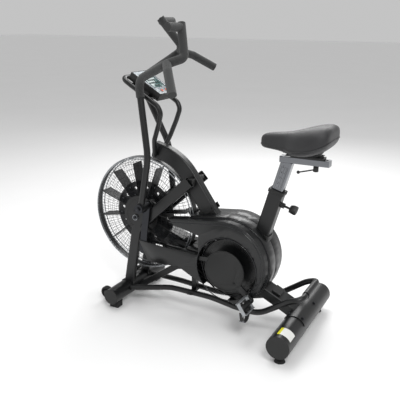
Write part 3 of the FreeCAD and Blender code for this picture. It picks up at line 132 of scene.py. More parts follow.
def mottle(tree, shader, place, low, high, size_mm, roughness):
    """Slow change of colour and roughness over the surface, one patch per size_mm."""
    cloud = add(tree, "ShaderNodeTexNoise", values={"Scale": 1000 / size_mm, "Detail": 4.0, "Roughness": 0.6},
                links={"Vector": place})
    mix = add(tree, "ShaderNodeMix", {"data_type": "RGBA"}, links={0: cloud})
    mix.inputs[6].default_value, mix.inputs[7].default_value = low, high
    tree.links.new(mix.outputs[2], shader.inputs["Base Color"])
    span = add(tree, "ShaderNodeMapRange", values={"To Min": roughness[0], "To Max": roughness[1]},
               links={"Value": cloud})
    tree.links.new(span.outputs["Result"], shader.inputs["Roughness"])


def relief(tree, shader, source, height_mm, strength=1.0):
    """Raises the surface by height_mm where source is white."""
    bump = add(tree, "ShaderNodeBump", values={"Strength": strength, "Distance": height_mm / 1000},
               links={"Height": source})
    tree.links.new(bump.outputs["Normal"], shader.inputs["Normal"])


def tint(colour, factor):
    """Lighter or darker copy of a colour."""
    return [min(1.0, c * factor) for c in colour[:3]] + [1.0]


# ---- finishes
def powder_coat(name, colour):
    """Baked polyester powder on steel: an even satin film with a faint orange peel."""
    made, tree, shader, place = start_finish(name, colour, 0.37, IOR=1.5)
    mottle(tree, shader, place, tint(colour, 0.85), tint(colour, 1.2), 90, (0.31, 0.43))
    # orange peel is about 2 mm across; drawn at 5 mm so that it breaks up the highlights
    peel = add(tree, "ShaderNodeTexNoise", values={"Scale": 1000 / 5, "Detail": 2.0}, links={"Vector": place})
    relief(tree, shader, peel, 0.12, 0.5)
    return made


def moulded_abs(name, colour, roughness=0.45):
    """Injection-moulded ABS with a spark-eroded grain: a soft, broad highlight."""
    made, tree, shader, place = start_finish(name, colour, roughness, IOR=1.53)
    mottle(tree, shader, place, tint(colour, 0.9), tint(colour, 1.12), 70,
           (roughness - 0.04, roughness + 0.08))
    # grain of 0.4 mm, drawn at 3 mm
    grain = add(tree, "ShaderNodeTexVoronoi", {"feature": "F1"}, {"Scale": 1000 / 3}, {"Vector": place})
    relief(tree, shader, grain, 0.1, 0.45)
    return made


def bright_chrome(name, colour):
    """Nickel-chrome plate on polished steel: a mirror with faint polishing haze."""
    made, tree, shader, place = start_finish(name, colour, 0.12, Metallic=1.0)
    haze = add(tree, "ShaderNodeMapping", values={"Scale": (400.0, 400.0, 60.0)}, links={"Vector": place})
    lines = add(tree, "ShaderNodeTexNoise", values={"Scale": 1.0, "Detail": 3.0},
                links={"Vector": haze})
    span = add(tree, "ShaderNodeMapRange", values={"To Min": 0.08, "To Max": 0.24},
               links={"Value": lines})
    tree.links.new(span.outputs["Result"], shader.inputs["Roughness"])
    return made


def turned_steel(name, colour, roughness=0.3):
    """Bare machined steel: fine turning marks, 1 mm apart so that they show."""
    made, tree, shader, place = start_finish(name, colour, roughness, Metallic=1.0)
    marks = add(tree, "ShaderNodeTexNoise", values={"Scale": 1000.0, "Detail": 1.0}, links={"Vector": place})
    relief(tree, shader, marks, 0.05, 0.4)
    mottle(tree, shader, place, tint(colour, 0.85), tint(colour, 1.1), 20,
           (roughness - 0.06, roughness + 0.1))
    return made


def silver_lacquer(name, colour):
    """Silver-grey lacquer on drawn wire: metal flakes under a satin film."""
    made, tree, shader, place = start_finish(name, colour, 0.34, Metallic=0.75)
    mottle(tree, shader, place, tint(colour, 0.8), tint(colour, 1.12), 12, (0.28, 0.44))
    return made


def grained_vinyl(name, colour):
    """Embossed vinyl over foam: pebbles about 3 mm across with dull valleys."""
    made, tree, shader, place = start_finish(name, colour, 0.52, IOR=1.5,
                                             Sheen_Weight=0.12, Sheen_Roughness=0.5)
    warp = add(tree, "ShaderNodeTexNoise", values={"Scale": 1000 / 14, "Detail": 2.0}, links={"Vector": place})
    bent = add(tree, "ShaderNodeVectorMath", {"operation": "MULTIPLY_ADD"},
               {1: (0.004, 0.004, 0.004)}, {0: warp.outputs["Color"], 2: place})
    pebbles = add(tree, "ShaderNodeTexVoronoi", {"feature": "DISTANCE_TO_EDGE"}, {"Scale": 1000 / 3.4},
                  {"Vector": bent})
    dome = add(tree, "ShaderNodeMapRange", values={"From Max": 0.22}, links={"Value": pebbles})
    relief(tree, shader, dome, 0.3, 0.7)
    mottle(tree, shader, place, tint(colour, 0.85), tint(colour, 1.25), 60, (0.46, 0.6))
    return made


def closed_foam(name, colour):
    """Nitrile foam sleeve: matt skin with open pin-holes, drawn 3 mm apart."""
    made, tree, shader, place = start_finish(name, colour, 0.85, IOR=1.45,
                                             Sheen_Weight=0.15, Sheen_Roughness=0.7)
    cells = add(tree, "ShaderNodeTexVoronoi", values={"Scale": 1000 / 3.0}, links={"Vector": place})
    relief(tree, shader, cells, 0.8, 1.0)
    mottle(tree, shader, place, tint(colour, 0.3), tint(colour, 2.6), 4, (0.75, 0.95))
    return made


def black_rubber(name, colour):
    """Moulded rubber: nearly matt, with a grey bloom in patches."""
    made, tree, shader, place = start_finish(name, colour, 0.75, IOR=1.52)
    mottle(tree, shader, place, tint(colour, 0.8), tint(colour, 1.6), 18, (0.66, 0.84))
    fine = add(tree, "ShaderNodeTexNoise", values={"Scale": 1000 / 4, "Detail": 3.0}, links={"Vector": place})
    relief(tree, shader, fine, 0.2, 0.5)
    return made


def gloss_plastic(name, colour, roughness=0.14):
    """Polished moulding: a clear, sharp highlight with slight waviness."""
    made, tree, shader, place = start_finish(name, colour, roughness, IOR=1.49)
    mottle(tree, shader, place, tint(colour, 0.92), tint(colour, 1.06), 30, (roughness, roughness + 0.08))
    return made


def woven_strap(name, colour):
    """Nylon webbing: diagonal yarns 2 mm wide."""
    made, tree, shader, place = start_finish(name, colour, 0.7, Sheen_Weight=0.2)
    yarn = add(tree, "ShaderNodeTexWave", {"bands_direction": "DIAGONAL"},
               {"Scale": 1000 / 12, "Distortion": 1.0}, {"Vector": place})
    relief(tree, shader, yarn, 0.4, 0.8)
    mottle(tree, shader, place, tint(colour, 0.7), tint(colour, 1.4), 6, (0.62, 0.8))
    return made


def matt_print(name, colour):
    """Screen-printed film: flat ink with a soft sheen."""
    made, tree, shader, place = start_finish(name, colour, 0.42, IOR=1.5)
    mottle(tree, shader, place, tint(colour, 0.95), tint(colour, 1.03), 25, (0.36, 0.5))
    return made


def studio_floor():
    """Seamless painted floor: almost white and quite matt."""
    made, tree, shader, place = start_finish("Seamless_White_Floor", linear("#f4f4f4"), 0.75)
    mottle(tree, shader, place, linear("#f2f2f2"), linear("#f7f7f7"), 900, (0.7, 0.8))
    return made


def finishes():
    """All finishes by name, made once."""
    if FINISH:
        return FINISH
    tones = bpy.context.scene.air_bike_colours
    FINISH.update({
        "frame": powder_coat("Satin_Black_Powder_Coat", [*tones.frame, 1.0]),
        "casing": moulded_abs("Moulded_Black_ABS", [*tones.casing, 1.0], 0.3),
        "plastic": moulded_abs("Grained_Black_Nylon", [*tones.plastic, 1.0], 0.5),
        "fan": powder_coat("Semi_Gloss_Black_Paint", linear("#070708")),
        "chrome": bright_chrome("Bright_Chrome_Plate", linear("#7f8185")),
        "steel": turned_steel("Turned_Steel", linear("#8e9094")),
        "bolt": turned_steel("Black_Oxide_Steel", linear("#3c3d40"), 0.38),
        "wire": silver_lacquer("Silver_Wire_Lacquer", [*tones.wire, 1.0]),
        "vinyl": grained_vinyl("Pebbled_Black_Vinyl", [*tones.saddle, 1.0]),
        "foam": closed_foam("Nitrile_Grip_Foam", [*tones.foam, 1.0]),
        "rubber": black_rubber("Moulded_Black_Rubber", linear("#101011")),
        "strap": woven_strap("Black_Nylon_Webbing", linear("#121213")),
        "panel": matt_print("Pale_Grey_Printed_Film", [*tones.panel, 1.0]),
        "display": gloss_plastic("Teal_Display_Window", linear("#39625f")),
        "segment": matt_print("Dark_Display_Segment", linear("#0f2d2b")),
        "button": gloss_plastic("Orange_Key_Silicone", [*tones.button, 1.0], 0.35),
        "paper": matt_print("White_Label_Film", linear("#dfe0dc")),
        "yellow": matt_print("Yellow_Label_Ink", linear("#d6d11f")),
        "ink": matt_print("Black_Scale_Ink", linear("#1b1b1c")),
        "gloss": gloss_plastic("Polished_Black_Bead", linear("#151619"), 0.1),
        "silver": silver_lacquer("Silver_Ring_Lacquer", linear("#a7aaad")),
    })
    return FINISH


FINISH = {}


# ---- making meshes
def piece(name, mesh, finish, body, stands_for=()):
    """Puts a finished mesh in the scene and rides it on its body."""
    mesh.materials.clear()
    mesh.materials.append(finishes()[finish])
    made = bpy.data.objects.new(name, mesh)
    bpy.context.scene.collection.objects.link(made)
    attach(made, body)
    if stands_for:
        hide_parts(*stands_for)
    return made


def coat(nodes, finish):
    """Gives CAD nodes a finish."""
    for node in nodes:
        mesh = CAD[node].data
        mesh.materials.clear()
        mesh.materials.append(finishes()[finish])


def as_mesh(thing):
    """Plain mesh of an object with its modifiers applied; the object goes."""
    bpy.context.view_layer.update()
    depsgraph = bpy.context.evaluated_depsgraph_get()
    mesh = bpy.data.meshes.new_from_object(thing.evaluated_get(depsgraph))
    data = thing.data
    bpy.data.objects.remove(thing)
    if isinstance(data, bpy.types.Curve):
        bpy.data.curves.remove(data)
    return mesh


def scratch(data):
    """Object that lives only while its mesh is made."""
    made = bpy.data.objects.new("work", data)
    bpy.context.scene.collection.objects.link(made)
    return made


def swept(paths, radius, closed=False, sides=3, smooth=True):
    """Round bar along each path of points; smooth bends it as one curve."""
    curve = bpy.data.curves.new("route", "CURVE")
    curve.dimensions, curve.bevel_depth, curve.bevel_resolution = "3D", radius, sides
    curve.use_fill_caps, curve.resolution_u = not closed, 6
    for path in paths:
        spline = curve.splines.new("NURBS" if smooth else "POLY")
        spline.points.add(len(path) - 1)
        for point, spot in zip(spline.points, path):
            point.co = (*spot, 1.0)
        spline.use_cyclic_u = closed
        if smooth:
            spline.order_u, spline.use_endpoint_u = 3, not closed
    return as_mesh(scratch(curve))


def hoop(centre, radius, y, thick):
    """Round bead in a circle about the Y axis."""
    return swept([ring_points(centre, radius, y)], thick, closed=True, smooth=False)


def lofted(rings):
    """Skin over closed rings of points, with both ends capped."""
    shape = bmesh.new()
    rows = [[shape.verts.new(p) for p in ring] for ring in rings]
    count = len(rows[0])
    for one, two in zip(rows, rows[1:]):
        for i in range(count):
            j = (i + 1) % count
            shape.faces.new((one[i], one[j], two[j], two[i]))
    shape.faces.new(list(reversed(rows[0])))
    shape.faces.new(rows[-1])
    bmesh.ops.recalc_face_normals(shape, faces=shape.faces)
    mesh = bpy.data.meshes.new("skin")
    shape.to_mesh(mesh)
    shape.free()
    return mesh


def subdivided(mesh, levels):
    """Smooth skin over a coarse mesh."""
    work = scratch(mesh)
    more = work.modifiers.new("smooth", "SUBSURF")
    more.levels = more.render_levels = levels
    made = as_mesh(work)
    made.shade_smooth()
    return made


def softened(node, width, name, finish, body, segments=2):
    """Copy of a CAD node with its sharp edges rounded, standing for the node."""
    shape = bmesh.new()
    shape.from_mesh(CAD[node].data)
    bmesh.ops.remove_doubles(shape, verts=shape.verts, dist=2e-5)
    bmesh.ops.dissolve_limit(shape, angle_limit=radians(1.0), verts=shape.verts,
                             edges=shape.edges, delimit={"NORMAL"})
    mesh = bpy.data.meshes.new(name)
    shape.to_mesh(mesh)
    shape.free()
    work = scratch(mesh)
    bevel = work.modifiers.new("edge", "BEVEL")
    bevel.width, bevel.segments, bevel.limit_method = width / 1000, segments, "ANGLE"
    bevel.angle_limit, bevel.miter_outer = radians(38), "MITER_ARC"
    bevel.use_clamp_overlap, bevel.harden_normals = True, True
    made = as_mesh(work)
    made.shade_smooth()
    made.set_sharp_from_angle(angle=radians(40))
    return piece(name, made, finish, body, (node,))


def flat_plate(outline, thick, round_by, holes=(), at_y=0.0):
    """Plate in the XZ plane with rounded edges, its middle at at_y; outline and holes are (x, z) lists."""
    curve = bpy.data.curves.new("plate", "CURVE")
    curve.dimensions, curve.fill_mode = "2D", "BOTH"
    curve.extrude, curve.bevel_depth, curve.bevel_resolution = thick / 2 - round_by, round_by, 2
    curve.offset = -round_by
    for loop in (outline, *holes):
        spline = curve.splines.new("POLY")
        spline.points.add(len(loop) - 1)
        for point, (x, z) in zip(spline.points, loop):
            point.co = (x, z, 0, 1)
        spline.use_cyclic_u = True
    mesh = as_mesh(scratch(curve))
    mesh.transform(Matrix.Translation((0, at_y, 0)) @ Matrix.Rotation(radians(90), 4, "X"))
    return mesh


def circle(centre, radius, count=64):
    """Outline of a disc as (x, z) pairs."""
    return [(centre.x + radius * cos(2 * pi * i / count), centre.z + radius * sin(2 * pi * i / count))
            for i in range(count)]


def merged(meshes):
    """One mesh out of several."""
    shape = bmesh.new()
    for mesh in meshes:
        shape.from_mesh(mesh)
    made = bpy.data.meshes.new("joined")
    shape.to_mesh(made)
    shape.free()
    return made


def faced_out(mesh):
    """Turns a mirrored mesh's faces outwards again."""
    shape = bmesh.new()
    shape.from_mesh(mesh)
    bmesh.ops.remove_doubles(shape, verts=shape.verts, dist=1e-6)
    bmesh.ops.recalc_face_normals(shape, faces=shape.faces)
    shape.to_mesh(mesh)
    shape.free()


# ---- geometry node trees
def new_tree(name, inputs):
    """Node tree with named inputs; returns it, its input node and the inputs' identifiers."""
    tree = bpy.data.node_groups.new(name, "GeometryNodeTree")
    tree.is_modifier = True
    tree.interface.new_socket(name="Geometry", in_out="INPUT", socket_type="NodeSocketGeometry")
    names = {}
    for label, kind in inputs:
        names[label] = tree.interface.new_socket(name=label, in_out="INPUT", socket_type=kind).identifier
    tree.interface.new_socket(name="Geometry", in_out="OUTPUT", socket_type="NodeSocketGeometry")
    return tree, add(tree, "NodeGroupInput"), names


def close_tree(tree, source, start):
    """Ends a tree in Realize Instances and Set Material."""
    real = add(tree, "GeometryNodeRealizeInstances", links={"Geometry": source})
    painted = add(tree, "GeometryNodeSetMaterial",
                  links={"Geometry": real, "Material": start.outputs["Material"]})
    add(tree, "NodeGroupOutput", links={"Geometry": painted})


def wire_tree():
    """Lines swept to round wire, copied in even turns about the Y axis through a centre."""
    tree, start, names = new_tree("Wires_Round_Axle", [
        ("Copies", "NodeSocketInt"), ("Wire Radius", "NodeSocketFloat"), ("Centre", "NodeSocketVector"),
        ("Material", "NodeSocketMaterial")])
    line = add(tree, "GeometryNodeMeshToCurve", links={"Mesh": start.outputs["Geometry"]})
    section = add(tree, "GeometryNodeCurvePrimitiveCircle", values={"Resolution": 5},
                  links={"Radius": start.outputs["Wire Radius"]})
    wire = add(tree, "GeometryNodeCurveToMesh", values={"Fill Caps": True},
               links={"Curve": line, "Profile Curve": section})
    smooth = add(tree, "GeometryNodeSetShadeSmooth", links={"Geometry": wire})
    points = add(tree, "GeometryNodePoints", links={"Count": start.outputs["Copies"]})
    index = add(tree, "GeometryNodeInputIndex")
    step = add(tree, "ShaderNodeMath", {"operation": "DIVIDE"}, {0: 2 * pi}, {1: start.outputs["Copies"]})
    turn = add(tree, "ShaderNodeMath", {"operation": "MULTIPLY"},
               links={0: index, 1: step})
    angle = add(tree, "ShaderNodeCombineXYZ", links={"Y": turn})
    copies = add(tree, "GeometryNodeInstanceOnPoints", links={
        "Points": points, "Instance": smooth, "Rotation": angle})
    placed = add(tree, "GeometryNodeTransform", links={
        "Geometry": copies, "Translation": start.outputs["Centre"]})
    close_tree(tree, placed, start)
    return tree, names


def bolt_tree():
    """A washer and a chamfered hexagon head on every point, facing its 'facing' direction."""
    tree, start, names = new_tree("Bolt_Heads", [("Material", "NodeSocketMaterial")])
    washer = add(tree, "GeometryNodeMeshCylinder", values={"Vertices": 20, "Radius": 1.35, "Depth": 0.3})
    head = add(tree, "GeometryNodeMeshCone", values={
        "Vertices": 6, "Radius Top": 0.93, "Radius Bottom": 1.0, "Depth": 0.75})
    crown = add(tree, "GeometryNodeMeshCone", values={
        "Vertices": 18, "Radius Top": 0.55, "Radius Bottom": 0.85, "Depth": 0.16})
    head_up = add(tree, "GeometryNodeTransform", values={"Translation": (0, 0, 0.1)},
                  links={"Geometry": head})
    crown_up = add(tree, "GeometryNodeTransform", values={"Translation": (0, 0, 0.84)},
                   links={"Geometry": crown})
    whole = add(tree, "GeometryNodeJoinGeometry", links={"Geometry": washer})
    for part in (head_up, crown_up):
        tree.links.new(part.outputs["Geometry"], whole.inputs["Geometry"])
    facing = add(tree, "GeometryNodeInputNamedAttribute", {"data_type": "FLOAT_VECTOR"}, {"Name": "facing"})
    size = add(tree, "GeometryNodeInputNamedAttribute", {"data_type": "FLOAT"}, {"Name": "size"})
    turn = add(tree, "FunctionNodeAlignRotationToVector", {"axis": "Z"},
               links={"Vector": facing})
    heads = add(tree, "GeometryNodeInstanceOnPoints", links={
        "Points": start.outputs["Geometry"], "Instance": whole,
        "Rotation": turn, "Scale": size})
    close_tree(tree, heads, start)
    return tree, names


def bar_tree():
    """A small bar on every point, its three sizes from 'size' and turned about Y by one angle."""
    tree, start, names = new_tree("Small_Bars", [
        ("Angle", "NodeSocketFloat"), ("Material", "NodeSocketMaterial")])
    cube = add(tree, "GeometryNodeMeshCube", values={"Size": (1, 1, 1)})
    size = add(tree, "GeometryNodeInputNamedAttribute", {"data_type": "FLOAT_VECTOR"}, {"Name": "size"})
    angle = add(tree, "ShaderNodeCombineXYZ", links={"Y": start.outputs["Angle"]})
    bars = add(tree, "GeometryNodeInstanceOnPoints", links={
        "Points": start.outputs["Geometry"], "Instance": cube,
        "Rotation": angle, "Scale": size})
    close_tree(tree, bars, start)
    return tree, names


def grown(tree_and_names, host, **values):
    """Runs a tree on a host mesh and returns the plain mesh."""
    tree, names = tree_and_names
    work = scratch(host)
    maker = work.modifiers.new("grow", "NODES")
    maker.node_group = tree
    for label, value in values.items():
        maker[names[label.replace("_", " ")]] = value
    return as_mesh(work)


def dots(points, **attributes):
    """Host mesh of loose points with named attributes."""
    mesh = bpy.data.meshes.new("dots")
    mesh.from_pydata([tuple(p) for p in points], [], [])
    for name, values in attributes.items():
        vector = hasattr(values[0], "__len__")
        made = mesh.attributes.new(name, "FLOAT_VECTOR" if vector else "FLOAT", "POINT")
        for item, value in zip(made.data, values):
            if vector:
                item.vector = value
            else:
                item.value = value
    return mesh


def bolts(name, body, spots, finish="bolt"):
    """Bolt heads; spots are (point, direction, head radius in millimetres)."""
    host = dots([p for p, _, _ in spots], facing=[tuple(d) for _, d, _ in spots],
                size=[r / 1000 for _, _, r in spots])
    return piece(name, grown(bolt_tree(), host, Material=finishes()[finish]), finish, body)


def lines(paths, closed=False):
    """Host mesh of connected points."""
    mesh = bpy.data.meshes.new("lines")
    verts, edges = [], []
    for path in paths:
        first = len(verts)
        verts += [tuple(p) for p in path]
        edges += [(first + i, first + i + 1) for i in range(len(path) - 1)]
        if closed:
            edges.append((len(verts) - 1, first))
    mesh.from_pydata(verts, edges, [])
    return mesh


# ---- settings
class AirBikeSizes(bpy.types.PropertyGroup):
    """Sizes of the detail pieces."""
    guard_spokes: IntProperty(name="Guard Spokes", description="Radial wires on each fan guard", default=96)
    guard_wire: FloatProperty(name="Guard Wire", description="Radius of a guard wire", default=0.0007,
                              unit="LENGTH")
    piping: FloatProperty(name="Saddle Piping", description="Radius of the saddle's seam bead", default=0.0018,
                          unit="LENGTH")
    edge: FloatProperty(name="Edge Rounding", description="Rounding of moulded edges in millimetres",
                        default=2.5)


class AirBikeColours(bpy.types.PropertyGroup):
    """Colours of the main finishes."""
    frame: FloatVectorProperty(name="Frame", description="Powder coat of the tubes", subtype="COLOR",
                               default=linear("#0d0e0f")[:3])
    casing: FloatVectorProperty(name="Casing", description="Moulded drive casing", subtype="COLOR",
                                default=linear("#0e0f10")[:3])
    plastic: FloatVectorProperty(name="Small Mouldings", description="Caps, knobs and plugs", subtype="COLOR",
                                 default=linear("#0b0c0c")[:3])
    wire: FloatVectorProperty(name="Guard Wire", description="Lacquer of the fan guards", subtype="COLOR",
                              default=linear("#3a3c3f")[:3])
    saddle: FloatVectorProperty(name="Saddle", description="Vinyl of the saddle", subtype="COLOR",
                                default=linear("#1d1d1f")[:3])
    foam: FloatVectorProperty(name="Grips", description="Foam of the grips", subtype="COLOR",
                              default=linear("#161717")[:3])
    panel: FloatVectorProperty(name="Console Panel", description="Printed face of the console", subtype="COLOR",
                               default=linear("#8d969b")[:3])
    button: FloatVectorProperty(name="Keys", description="Console keys", subtype="COLOR",
                                default=linear("#d8541c")[:3])


# ---- operators
class AIRBIKE_OT_stage(bpy.types.Operator):
    """Pale floor, soft studio light and the camera"""
    bl_idname = "airbike.stage"
    bl_label = "Stage"

    def execute(self, context):
        scene = context.scene
        floor = bpy.data.meshes.new("floor")
        floor.from_pydata([(-40, -40, 0), (40, -40, 0), (40, 40, 0), (-40, 40, 0)], [], [(0, 1, 2, 3)])
        made = bpy.data.objects.new("floor", floor)
        scene.collection.objects.link(made)
        floor.materials.append(studio_floor())
        world = bpy.data.worlds.new("Studio")
        world.use_nodes = True
        world.node_tree.nodes["Background"].inputs["Color"].default_value = (1, 1, 1, 1)
        world.node_tree.nodes["Background"].inputs["Strength"].default_value = 0.55
        scene.world = world
        self.light("Key", (-2.4, 2.6, 3.8), 1.6, 100)
        self.light("Fill", (3.0, 2.4, 1.8), 1.6, 9)
        self.light("Top", (0.4, -0.6, 3.8), 2.0, 60)
        self.light("Rim", (0.6, -3.2, 2.6), 1.6, 40)
        self.camera(scene)
        scene.view_settings.view_transform = "Standard"
        return {"FINISHED"}

    def light(self, name, spot, size, power):
        data = bpy.data.lights.new(name, "AREA")
        data.size, data.energy = size, power
        lamp = bpy.data.objects.new(name, data)
        lamp.location = spot
        lamp.rotation_euler = (Vector((0, 0, 0.6)) - Vector(spot)).to_track_quat("-Z", "Y").to_euler()
        bpy.context.scene.collection.objects.link(lamp)

    def camera(self, scene):
        data = bpy.data.cameras.new("Camera")
        data.sensor_width, data.lens = 36.0, 36.0 * 576.5 / 400
        data.dof.use_dof = False
        cam = bpy.data.objects.new("Camera", data)
        az, el, roll = radians(28.05), radians(17.28), radians(0.38)
        look = Vector((sin(az) * cos(el), -cos(az) * cos(el), -sin(el)))
        right = look.cross(Vector((0, 0, 1))).normalized()
        up = right.cross(look)
        side = right * cos(roll) + up * sin(roll)
        top = up * cos(roll) - right * sin(roll)
        turn = Matrix((side, top, -look)).transposed().to_4x4()
        cam.matrix_world = Matrix.Translation(bike(-1024, 2239, 1341)) @ turn
        scene.collection.objects.link(cam)
        scene.camera = cam


class AIRBIKE_OT_frame_tubes(bpy.types.Operator):
    """Finishes of the welded frame, its fittings, its bearings and the belt"""
    bl_idname = "airbike.frame_tubes"
    bl_label = "Frame Tubes"

    def execute(self, context):
        coat(("rear_stabiliser", "front_stabiliser", "rear_beam", "keel_tube", "backbone", "left_fork",
              "right_fork", "rail_hoop", "seat_tube", "pivot_housings", "console_loop", "cage_band"), "frame")
        coat(("seat_bush", "backbone_fittings"), "plastic")
        coat(("crank_bearings", "fan_axle", "fan_bearings"), "steel")
        coat(("drive_belt",), "rubber")
        return {"FINISHED"}


class AIRBIKE_OT_casing(bpy.types.Operator):
    """Drive casing halves with rounded edges, their beads and opening rings"""
    bl_idname = "airbike.casing"
    bl_label = "Drive Casing"

    def execute(self, context):
        edge = context.scene.air_bike_sizes.edge
        for side, sign in (("left", 1), ("right", -1)):
            softened(side + "_casing", edge, side + "_casing_shell", "casing", "frame")
            rings = [hoop(CRANK, 0.1475, sign * 0.1015, 0.0022), hoop(CRANK, 0.139, sign * 0.066, 0.003)]
            piece(side + "_opening_ring", merged(rings), "gloss", "frame")
            bead = swept([self.crown_line(1.5, sign * 61.5), self.crown_line(-4.5, sign * 99.5)],
                         0.0026, smooth=False)
            # the inner bead stays 0.4 mm clear of the crank arm
            inner = swept([self.crown_line(-17, sign * 99.2)], 0.0034, smooth=False)
            piece(side + "_crown_bead", merged([bead, inner]), "gloss", "frame")
        return {"FINISHED"}

    def crown_line(self, inset, y):
        """Line from the upper limb round the rear of the casing, inset from its step."""
        radius = 195 + inset
        arc = [bike(-10 + radius * cos(radians(a)), y, 310 + radius * sin(radians(a)))
               for a in range(84, 257, 4)]
        return [bike(276, y, 472 + inset)] + arc


class AIRBIKE_OT_fan(bpy.types.Operator):
    """Wire guards, hub plates and the fan rotor"""
    bl_idname = "airbike.fan"
    bl_label = "Fan"

    # radius and distance from the middle plane, in metres
    spoke = [(0.091, 0.0445), (0.2, 0.0445), (0.252, 0.0440), (0.262, 0.0400), (0.2775, 0.017)]
    rings = [(r / 1000, 0.0425) for r in range(118, 252, 26)] + [(0.258, 0.0395)]
    lips = [(0.2775, 0.0165), (0.2705, 0.0285)]

    def execute(self, context):
        tree = wire_tree()
        for side, sign in (("left", 1), ("right", -1)):
            self.guard(side, sign, tree, context.scene.air_bike_sizes)
            self.hub_plate(side, sign)
        coat(("fan_rotor", "fan_pulley"), "fan")
        self.rivets()
        return {"FINISHED"}

    def guard(self, side, sign, tree, sizes):
        """Radial wires with their rings, and the heavier rim wires."""
        def wires(host, copies, radius, finish):
            return grown(tree, host, Copies=copies, Wire_Radius=radius, Centre=FAN,
                         Material=finishes()[finish])

        def loops(rows):
            return lines([ring_points(Vector(), r, sign * y, 96) for r, y in rows], True)

        host = lines([[Vector((r, sign * y, 0)) for r, y in self.spoke]])
        spokes = wires(host, sizes.guard_spokes, sizes.guard_wire, "wire")
        rings = wires(loops(self.rings), 1, sizes.guard_wire, "wire")
        lip = wires(loops(self.lips), 1, 0.0028, "silver")
        piece(side + "_guard_wires", merged([spokes, rings]), "wire", "frame",
              (side + "_wire_guard",))
        piece(side + "_guard_lip", lip, "silver", "frame")

    def hub_plate(self, side, sign):
        """Pressed disc in the middle of a guard, with two stays to the fork."""
        plate = flat_plate(circle(FAN, 0.094, 72), 0.003, 0.001, [circle(FAN, 0.040, 40)], sign * 0.0445)
        dish = hoop(FAN, 0.078, sign * 0.0452, 0.0016)
        stays = [swept([[about(FAN, 0.07, radians(a), sign * y) for y in (0.045, 0.0575)]], 0.004,
                       smooth=False) for a in (262, 283)]
        piece(side + "_guard_plate", merged([plate, dish] + stays), "fan", "frame")

    def rivets(self):
        """Two rivets at the foot of every paddle, on both faces of the rotor disc."""
        spots = []
        for i in range(12):
            for r in (0.1, 0.142):
                a = radians(30 * i - 10)
                for sign in (1, -1):
                    point = Vector((FAN.x + r * cos(a) - 0.006 * sin(a), sign * 0.0022,
                                    FAN.z + r * sin(a) + 0.006 * cos(a)))
                    spots.append((point, (0, sign, 0), 3.0))
        bolts("rotor_rivets", "fan", spots, "steel")


class AIRBIKE_OT_crank(bpy.types.Operator):
    """Crank arms, cover discs, dust rings, pulley, spindles and drive rods"""
    bl_idname = "airbike.crank"
    bl_label = "Crank Set"

    def execute(self, context):
        for side, sign in (("left", 1), ("right", -1)):
            softened(side + "_crank_arm", 2.5, side + "_forged_arm", "frame", "crank", 3)
            softened(side + "_crank_cover", 0.8, side + "_cover_disc", "plastic", "crank")
            rim = hoop(CRANK, 0.0925, sign * 0.1192, 0.0018)
            piece(side + "_cover_rim", rim, "plastic", "crank")
            self.dust_ring(side, sign)
        coat(("drive_pulley",), "casing")
        coat(("crank_axle", "pedal_spindles"), "steel")
        coat(("left_drive_rod", "right_drive_rod"), "frame")
        return {"FINISHED"}

    def dust_ring(self, side, sign):
        """Ribbed ring that closes the pulley's side behind the cover disc."""
        y = sign * 0.0605
        plate = flat_plate(circle(CRANK, 0.133, 72), 0.003, 0.001, [circle(CRANK, 0.05, 40)], y)
        face = y + sign * 0.002
        rim = hoop(CRANK, 0.131, face, 0.0028)
        rib = lines([[Vector((0.104, face, 0)), Vector((0.126, face, 0))]])
        ribs = grown(wire_tree(), rib, Copies=90, Wire_Radius=0.0013,
                     Centre=Vector((CRANK.x, 0, CRANK.z)), Material=finishes()["casing"])
        piece(side + "_dust_ring", merged([plate, rim, ribs]), "casing", "crank")


